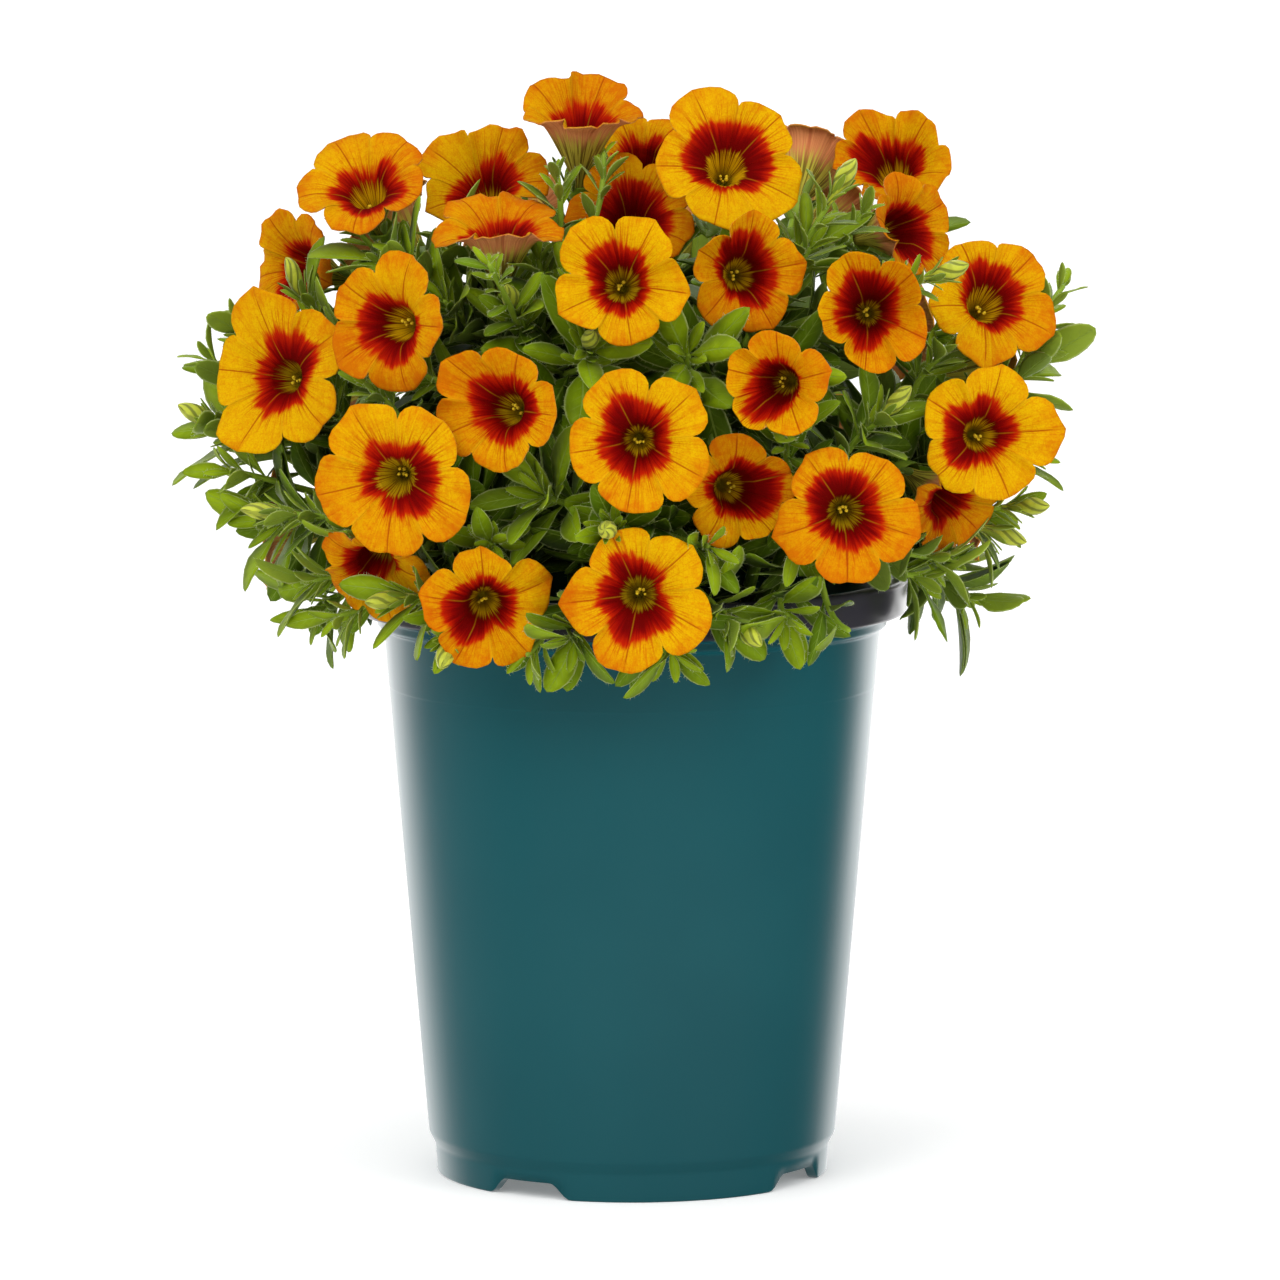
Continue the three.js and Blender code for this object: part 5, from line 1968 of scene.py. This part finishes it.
    def relief(
        self, degrees: Array, lateral: Array, lobe: Array, out: Array, waves: Array, wild: float,
        rng: Random,
    ) -> Array:
        """How far the petal stands back from its plain funnel.

        The rim's waves come in with the reach to the power 2.2. The petal
        curves back towards the rim, a shallow groove follows each rib and a
        fold runs in from each notch. A wild bloom is a narrower funnel with
        one deep pleat.

        Args:
            degrees: the columns' turns.
            lateral: the columns' places in their lobes, -1 to 1.
            lobe: the columns' lobes.
            out: the reach as a share of the radius.
            waves: the depths of the rim's fifteen points.
            wild: how strongly the lobes twist.
            rng: for the lobes' own tilts.

        Returns:
            Depths, rows x columns.
        """
        stops = np.concatenate([72.0 * k + np.array([-17, 0, 17]) for k in range(6)])
        depths = np.concatenate([waves, waves[:3]])
        rim = np.interp(degrees, stops, depths)
        tilt = rng.normal(0, 1.1, 5)[lobe] * (1 - lateral**2)
        cup = rng.uniform(-1.8, 1.2, 5)[lobe] * lateral**2
        ripple = 0.42 * np.sin(np.radians(degrees) * 13 + rng.uniform(0, 6)) * (0.3 + np.abs(lateral))
        weight = np.clip(out, 0, 1.05) ** 2.2
        groove = 0.22 * np.exp(-((lateral / 0.09) ** 2)) * smooth(out, 0.3, 0.6)
        fold = -0.3 * np.exp(-(((1 - np.abs(lateral)) / 0.14) ** 2)) * smooth(out, 0.28, 0.6)
        curve_back = 1.5 * np.clip(out - 0.62, 0, 1) ** 2 / 0.15 * 0.55
        saddle = rng.normal(0, 0.8) * np.cos(np.radians(2 * degrees + rng.uniform(0, 360)))
        curl = curve_back * rng.uniform(0.3, 2.2)
        crimp = rng.normal(0, 0.2, len(degrees)) * smooth(out, 0.72, 1.0)
        folded = max(wild - 1, 0)
        aside = (degrees - 72 * rng.integers(0, 5) + 180) % 360 - 180
        pleat = folded * (3.0 * np.exp(-((aside / 13) ** 2)) * smooth(out, 0.25, 0.9) - 2.4 * weight)
        bent = (rim + wild * (tilt + cup + ripple + saddle)) * weight
        return bent + groove + fold * wild + curl + crimp + pleat

    def back_wall(self, reach: Array, depth: Array) -> Array:
        """The least depth of the back, so that the flare thickens to the tube's neck."""
        neck_reach, neck_depth = self.tube[0]
        part = np.clip((reach - neck_reach) / 5.0, 0, 1)
        return np.where(reach < neck_reach + 5.0, neck_depth * (1 - part) ** 1.6 + depth * part, depth)

    def anthers(self, blooms: list[Bloom]) -> Skins:
        """A cluster of anthers and a stigma on one side of each throat, as small closed beads.

        Args:
            blooms: all blooms.

        Returns:
            The beads.
        """
        rings, starts, ends = [], [], []
        lift = np.radians([-50, -15, 20, 55])
        for bloom in blooms:
            draw = Draws(9500 + bloom.index)
            sunk, side = draw.within(6.6, 3.2), 360 * draw()
            for number in range(5):
                turn = draw.within(side + 38.0 * (number - 2), 24)
                reach, depth = draw.within(0.35, 1.0), draw.within(sunk, 1.5)
                centre = bloom.on_face(turn, reach, depth)
                radius = draw.within(0.3, 0.18)
                path = centre + bloom.facing * (np.sin(lift) * radius * 1.25)[:, None]
                rings.append(tube_rings(path[None], bloom.side, bloom.up, np.cos(lift) * radius, 7)[0])
                starts.append(centre - bloom.facing * radius * 1.2)
                ends.append(centre + bloom.facing * radius * 1.2)
        return Skins(np.array(rings), np.array(starts), np.array(ends))


# ---- pot and soil


@dataclass
class Pot:
    """The turned pot: a tapered wall, a collar, a rim band and a notched foot.

    Attributes:
        outline: radius and height of the section's corners, from the axis
            under the floor round to the axis on top of it.
        rounding: how far from each corner the round begins.
        sides: points round the pot.
    """

    finish: Material
    outline: tuple = (
        (0, 7.6), (40.8, 7.6), (40.9, 0), (43.1, 0), (43.5, 6.25), (44.9, 8.9), (53.41, 107.9),
        (53.48, 108.1), (54.5, 120.6), (56, 121.4), (55.8, 123.3), (60.2, 124.4), (60.6, 131.2),
        (59.9, 132), (57.2, 132), (56.4, 130.8), (53.3, 120.6), (43.7, 9.2), (0, 9.2),
    )
    rounding: float = 0.55
    sides: int = 288
    notch_count: int = 4
    notch_first: float = -32
    notch_top: float = 11
    notch_bottom: float = 20.5
    notch_height: float = 3.6
    drain_circle: float = 30
    drain_radius: float = 4.5

    def section(self) -> Array:
        """The outline with each corner rounded by a short quadratic curve."""
        corners = np.array(self.outline, float)
        path = [corners[:1]]
        part = np.linspace(0, 1, 4)[:, None]
        for before, corner, after in zip(corners[:-2], corners[1:-1], corners[2:]):
            reach = [min(self.rounding, 0.4 * np.linalg.norm(end - corner)) for end in (before, after)]
            first = corner + unit(before - corner) * reach[0]
            last = corner + unit(after - corner) * reach[1]
            path.append((1 - part) ** 2 * first + 2 * part * (1 - part) * corner + part**2 * last)
        path.append(corners[-1:])
        return np.concatenate(path)

    def notch_lift(self, turns: Array) -> Array:
        """How high the foot stands over the table at each turn: an S curve at each end of a notch."""
        apart = 360 / self.notch_count
        aside = (turns - self.notch_first + apart / 2) % apart - apart / 2
        lateral = np.abs(np.sin(np.radians(aside))) * 42
        return self.notch_height * (1 - smooth(lateral, self.notch_top / 2, self.notch_bottom / 2))

    def build(self) -> None:
        """Builds the pot with its drain holes."""
        section = self.section()
        turns = 360 * np.arange(self.sides) / self.sides
        away = np.array([outward(turn) for turn in turns])
        radii, heights = section[1:-1].T[..., None]
        rings = away * radii[..., None]
        lifted = np.maximum(heights, self.notch_lift(turns))
        rings[..., 2] = np.where(heights < self.notch_height + 0.05, lifted, heights)
        ends = np.array([[0, 0, section[0, 1]], [0, 0, section[-1, 1]]])
        piece = make_piece("pot_shell", [Skins(rings[None], ends[:1], ends[1:])], [self.finish])
        self.drill(piece)
        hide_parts("pot")

    def drill(self, piece: Object) -> None:
        """Cuts the drain holes through the floor.

        Args:
            piece: the pot.
        """
        turns = [self.notch_first + 360 / self.notch_count * (i + 0.5) for i in range(self.notch_count)]
        centres = np.array([outward(turn) * self.drain_circle for turn in turns])
        low, high = centres + [0, 0, 5.0], centres + [0, 0, 12.0]
        rings = tube_rings(np.stack([low, high], axis=1), EAST, NORTH, self.drain_radius, 32)
        cutter = make_piece("drain_cutter", [Skins(rings, low, high)], [self.finish])
        cut = piece.modifiers.new("drains", "BOOLEAN")
        cut.object, cut.operation, cut.solver = cutter, "DIFFERENCE", "EXACT"
        with bpy.context.temp_override(object=piece, active_object=piece):
            bpy.ops.object.modifier_apply(modifier=cut.name)
        bpy.data.objects.remove(cutter, do_unlink=True)


@dataclass
class Soil:
    """The peat plug with a lumpy top and loose crumbs on it.

    Attributes:
        rings: rings of the top.
        sides: points of a ring.
        crumbs: how many loose crumbs.
    """

    finish: Material
    rings: int = 34
    sides: int = 110
    bottom: float = 9.55
    bottom_radius: float = 43.0
    rim_radius: float = 52.2
    crumbs: int = 620

    def height(self, x: Array, y: Array) -> Array:
        """The lumpy top: two broad swells with finer ones of less height."""
        swell = np.sin(x * 0.21 + 0.6) * np.cos(y * 0.17 - 0.4)
        crumb = np.sin(x * 0.47 - y * 0.39 + 1.1)
        fine = np.sin(x * 1.31 + 2 * np.sin(y * 0.7)) * np.sin(y * 1.47 + 1.6 * np.sin(x * 0.9))
        grit = np.sin(x * 3.1 + 3 * np.sin(y * 1.9)) * np.sin(y * 2.9 + 2 * np.sin(x * 2.2))
        return SOIL_TOP + SOIL_BUMP * (0.65 * swell + 0.35 * crumb) + 0.4 * fine + 0.22 * grit

    def build(self) -> None:
        """Builds the plug and its crumbs as two pieces."""
        turns = np.radians(360 * np.arange(self.sides) / self.sides)
        reach = self.rim_radius * np.linspace(1, 0.03, self.rings)[:, None]
        x, y = reach * np.sin(turns), -reach * np.cos(turns)
        edge = smooth(reach, self.rim_radius - 3, self.rim_radius)
        z = self.height(x, y) * (1 - edge) + (SOIL_TOP - 2.1) * edge
        top = np.stack([x, y, z], axis=-1)
        wall = top[:1] * [1, 1, 0] * self.bottom_radius / self.rim_radius + [0, 0, self.bottom]
        rings = np.concatenate([wall, top])[None]
        ends = np.array([[0, 0, self.bottom], [0, 0, float(self.height(0.0, 0.0))]])
        plug = make_piece("peat_plug", [Skins(rings, ends[:1], ends[1:])], [self.finish])
        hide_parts("soil")
        crumbs = make_piece("peat_crumbs", [self.loose()], [self.finish])

    def loose(self) -> Skins:
        """Crumbs as small uneven closed lumps, half sunk in the top."""
        rng = np.random.default_rng(41)
        angle = rng.uniform(0, 2 * np.pi, self.crumbs)
        out = (self.rim_radius - 2) * np.sqrt(rng.uniform(0, 1, self.crumbs))
        x, y = out * np.cos(angle), out * np.sin(angle)
        size = rng.gamma(3.0, 0.28, self.crumbs).clip(0.3, 2.2)
        centre = np.column_stack([x, y, self.height(x, y) + 0.25 * size])
        axis = unit(rng.normal(size=(self.crumbs, 3)))
        side = unit(np.cross(axis, LEANING_AXIS))
        up = np.cross(side, axis)
        lift = np.radians([-42, 0, 42])
        path = centre[:, None] + axis[:, None] * np.sin(lift)[:, None] * size[:, None, None]
        rings = tube_rings(path, side[:, None], up[:, None], np.cos(lift) * size[:, None] * 0.8, 6)
        rings += rng.normal(0, 0.13, rings.shape) * size[:, None, None, None]
        marks = {"age": rng.uniform(0, 3, self.crumbs)[:, None, None]}
        reach = axis * size[:, None]
        return Skins(rings, centre - reach, centre + reach, marks)


# ---- studio


class Side(Enum):
    """Where a lamp stands, seen from the camera."""

    LEFT = -1
    RIGHT = 1


@dataclass
class Studio:
    """A pale floor, soft lamps, bright walls for the gloss, and the camera.

    Attributes:
        ground: the floor's finish.
        eye: where the camera stands, in metres.
        aim: the point in the middle of its view.
        span: the angle that the square frame takes in, in degrees.
        floor_size: the sheet's side, in metres.
        sky_light, room_light: the even light, and what gloss sees in front.
        walls: what gloss sees at the sides: the turns where each light begins
            and is full, and its strength.
        sun_light: the wide soft light; its width, turn and rise follow.
        lamp_aim: what both lamps point at.
    """

    ground: Material
    eye: tuple = (0.0, -1.8, 0.33)
    aim: tuple = (0.00176, 0.0, 0.1176)
    span: float = 8.88
    floor_size: float = 60.0
    sky_light: float = 0.62
    room_light: float = 0.03
    walls: tuple = ((Side.LEFT, 57, 127, 0.5), (Side.LEFT, 114, 150, 1.9), (Side.RIGHT, 124, 148, 2.7))
    sun_light: float = 1.5
    sun_width: float = 85
    sun_turn: float = -20
    sun_rise: float = 58
    lamp_aim: tuple = (0.0, 0.0, 0.17)

    def build(self) -> None:
        """Builds everything round the object."""
        self.camera()
        self.floor()
        self.world()
        self.sun()
        self.lamp("key", (-0.75, -1.2, 1.1), 0.7, 5)
        self.lamp("fill", (1.2, -0.9, 0.9), 0.8, 7)

    def camera(self) -> None:
        """A long lens at the height of the blooms."""
        data = bpy.data.cameras.new("camera")
        data.sensor_width = 36
        data.lens = data.sensor_width / 2 / math.tan(math.radians(self.span / 2))
        data.clip_start, data.clip_end = 0.05, 100
        bpy.context.scene.camera = self.aimed(data, self.eye, self.aim)

    @staticmethod
    def aimed(data: bpy.types.ID, place: tuple, target: tuple) -> Object:
        """A camera or a lamp at a place, turned to a target."""
        made = add_object(data.name, data)
        made.location = place
        made.rotation_euler = (Vector(target) - Vector(place)).to_track_quat("-Z", "Y").to_euler()
        return made

    def floor(self) -> None:
        """A wide level sheet, just under the foot."""
        half = self.floor_size / 2
        mesh = bpy.data.meshes.new("floor")
        corners = [(x * half, y * half, 0) for x, y in ((-1, -1), (1, -1), (1, 1), (-1, 1))]
        mesh.from_pydata(corners, [], [range(4)])
        floor = add_object("floor", mesh)
        mesh.materials.append(self.ground)
        floor.visible_glossy = False

    def world(self) -> None:
        """An even pale sky; gloss sees a dark room with a bright wall at each side.

        The walls' light is a smooth step of the turn from the front, on the
        left and on the right, each times its strength, and fades low down.
        """
        world = bpy.data.worlds.new("studio")
        world.use_nodes = True
        graph = Graph(world.node_tree)
        x, y, z = graph.node("SeparateXYZ", Vector=graph.node("TexCoord").outputs["Generated"]).outputs
        turn = graph.math("ARCTAN2", x, graph.times(y, -1.0))
        level = graph.rise(z, -0.62, -0.3, 0.25, 1.0)
        walls = self.room_light
        for side, first, last, strength in self.walls:
            aside = graph.times(turn, float(side.value))
            light = graph.rise(aside, math.radians(first), math.radians(last), 0, strength)
            walls = graph.plus(walls, graph.times(light, level))
        seen = graph.node("LightPath").outputs
        light = graph.between(seen["Is Glossy Ray"], self.sky_light, walls)
        shown = graph.between(seen["Is Camera Ray"], light, 1.0)
        graph.wire(world.node_tree.nodes["Background"], Color=WHITE, Strength=shown)
        bpy.context.scene.world = world
        bpy.context.scene.view_settings.view_transform = "Standard"

    def sun(self) -> None:
        """A wide soft light from above the front left, even over the whole floor."""
        data = bpy.data.lights.new("sun", "SUN")
        data.angle = math.radians(self.sun_width)
        data.energy = self.sun_light
        way = Vector(heading(self.sun_turn, self.sun_rise))
        add_object("sun", data).rotation_euler = way.to_track_quat("Z", "Y").to_euler()

    def lamp(self, name: str, place: tuple, size: float, power: float) -> None:
        """A soft square lamp, in metres and watts."""
        data = bpy.data.lights.new(name, "AREA")
        data.shape, data.size, data.size_y, data.energy = "RECTANGLE", size, size, power
        self.aimed(data, place, self.lamp_aim)


# ---- main


def main() -> None:
    """Builds the pot, the soil, the foliage, the blooms and the studio."""
    logging.basicConfig(level=logging.INFO, format="%(name)s: %(message)s")
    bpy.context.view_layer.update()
    effects = Effects()
    plant = Plant(Solids(frame["nodes"]))
    counts = [len(stem.leaves) for stem in plant.stems]
    log.info("leaves on each stem: %s", counts)
    Pot(PlasticFinish(effects).material()).build()
    Soil(PeatFinish(effects).material()).build()
    greens = [finish(effects).material() for finish in (StemFinish, LeafFinish, BudFinish)]
    Foliage(greens, DownFinish(effects).material()).build(plant)
    Corollas(PetalFinish(effects).material(), PollenFinish(effects).material()).build(plant.blooms)
    Studio(FloorFinish(effects).material()).build()


if __name__ == "__main__":
    main()
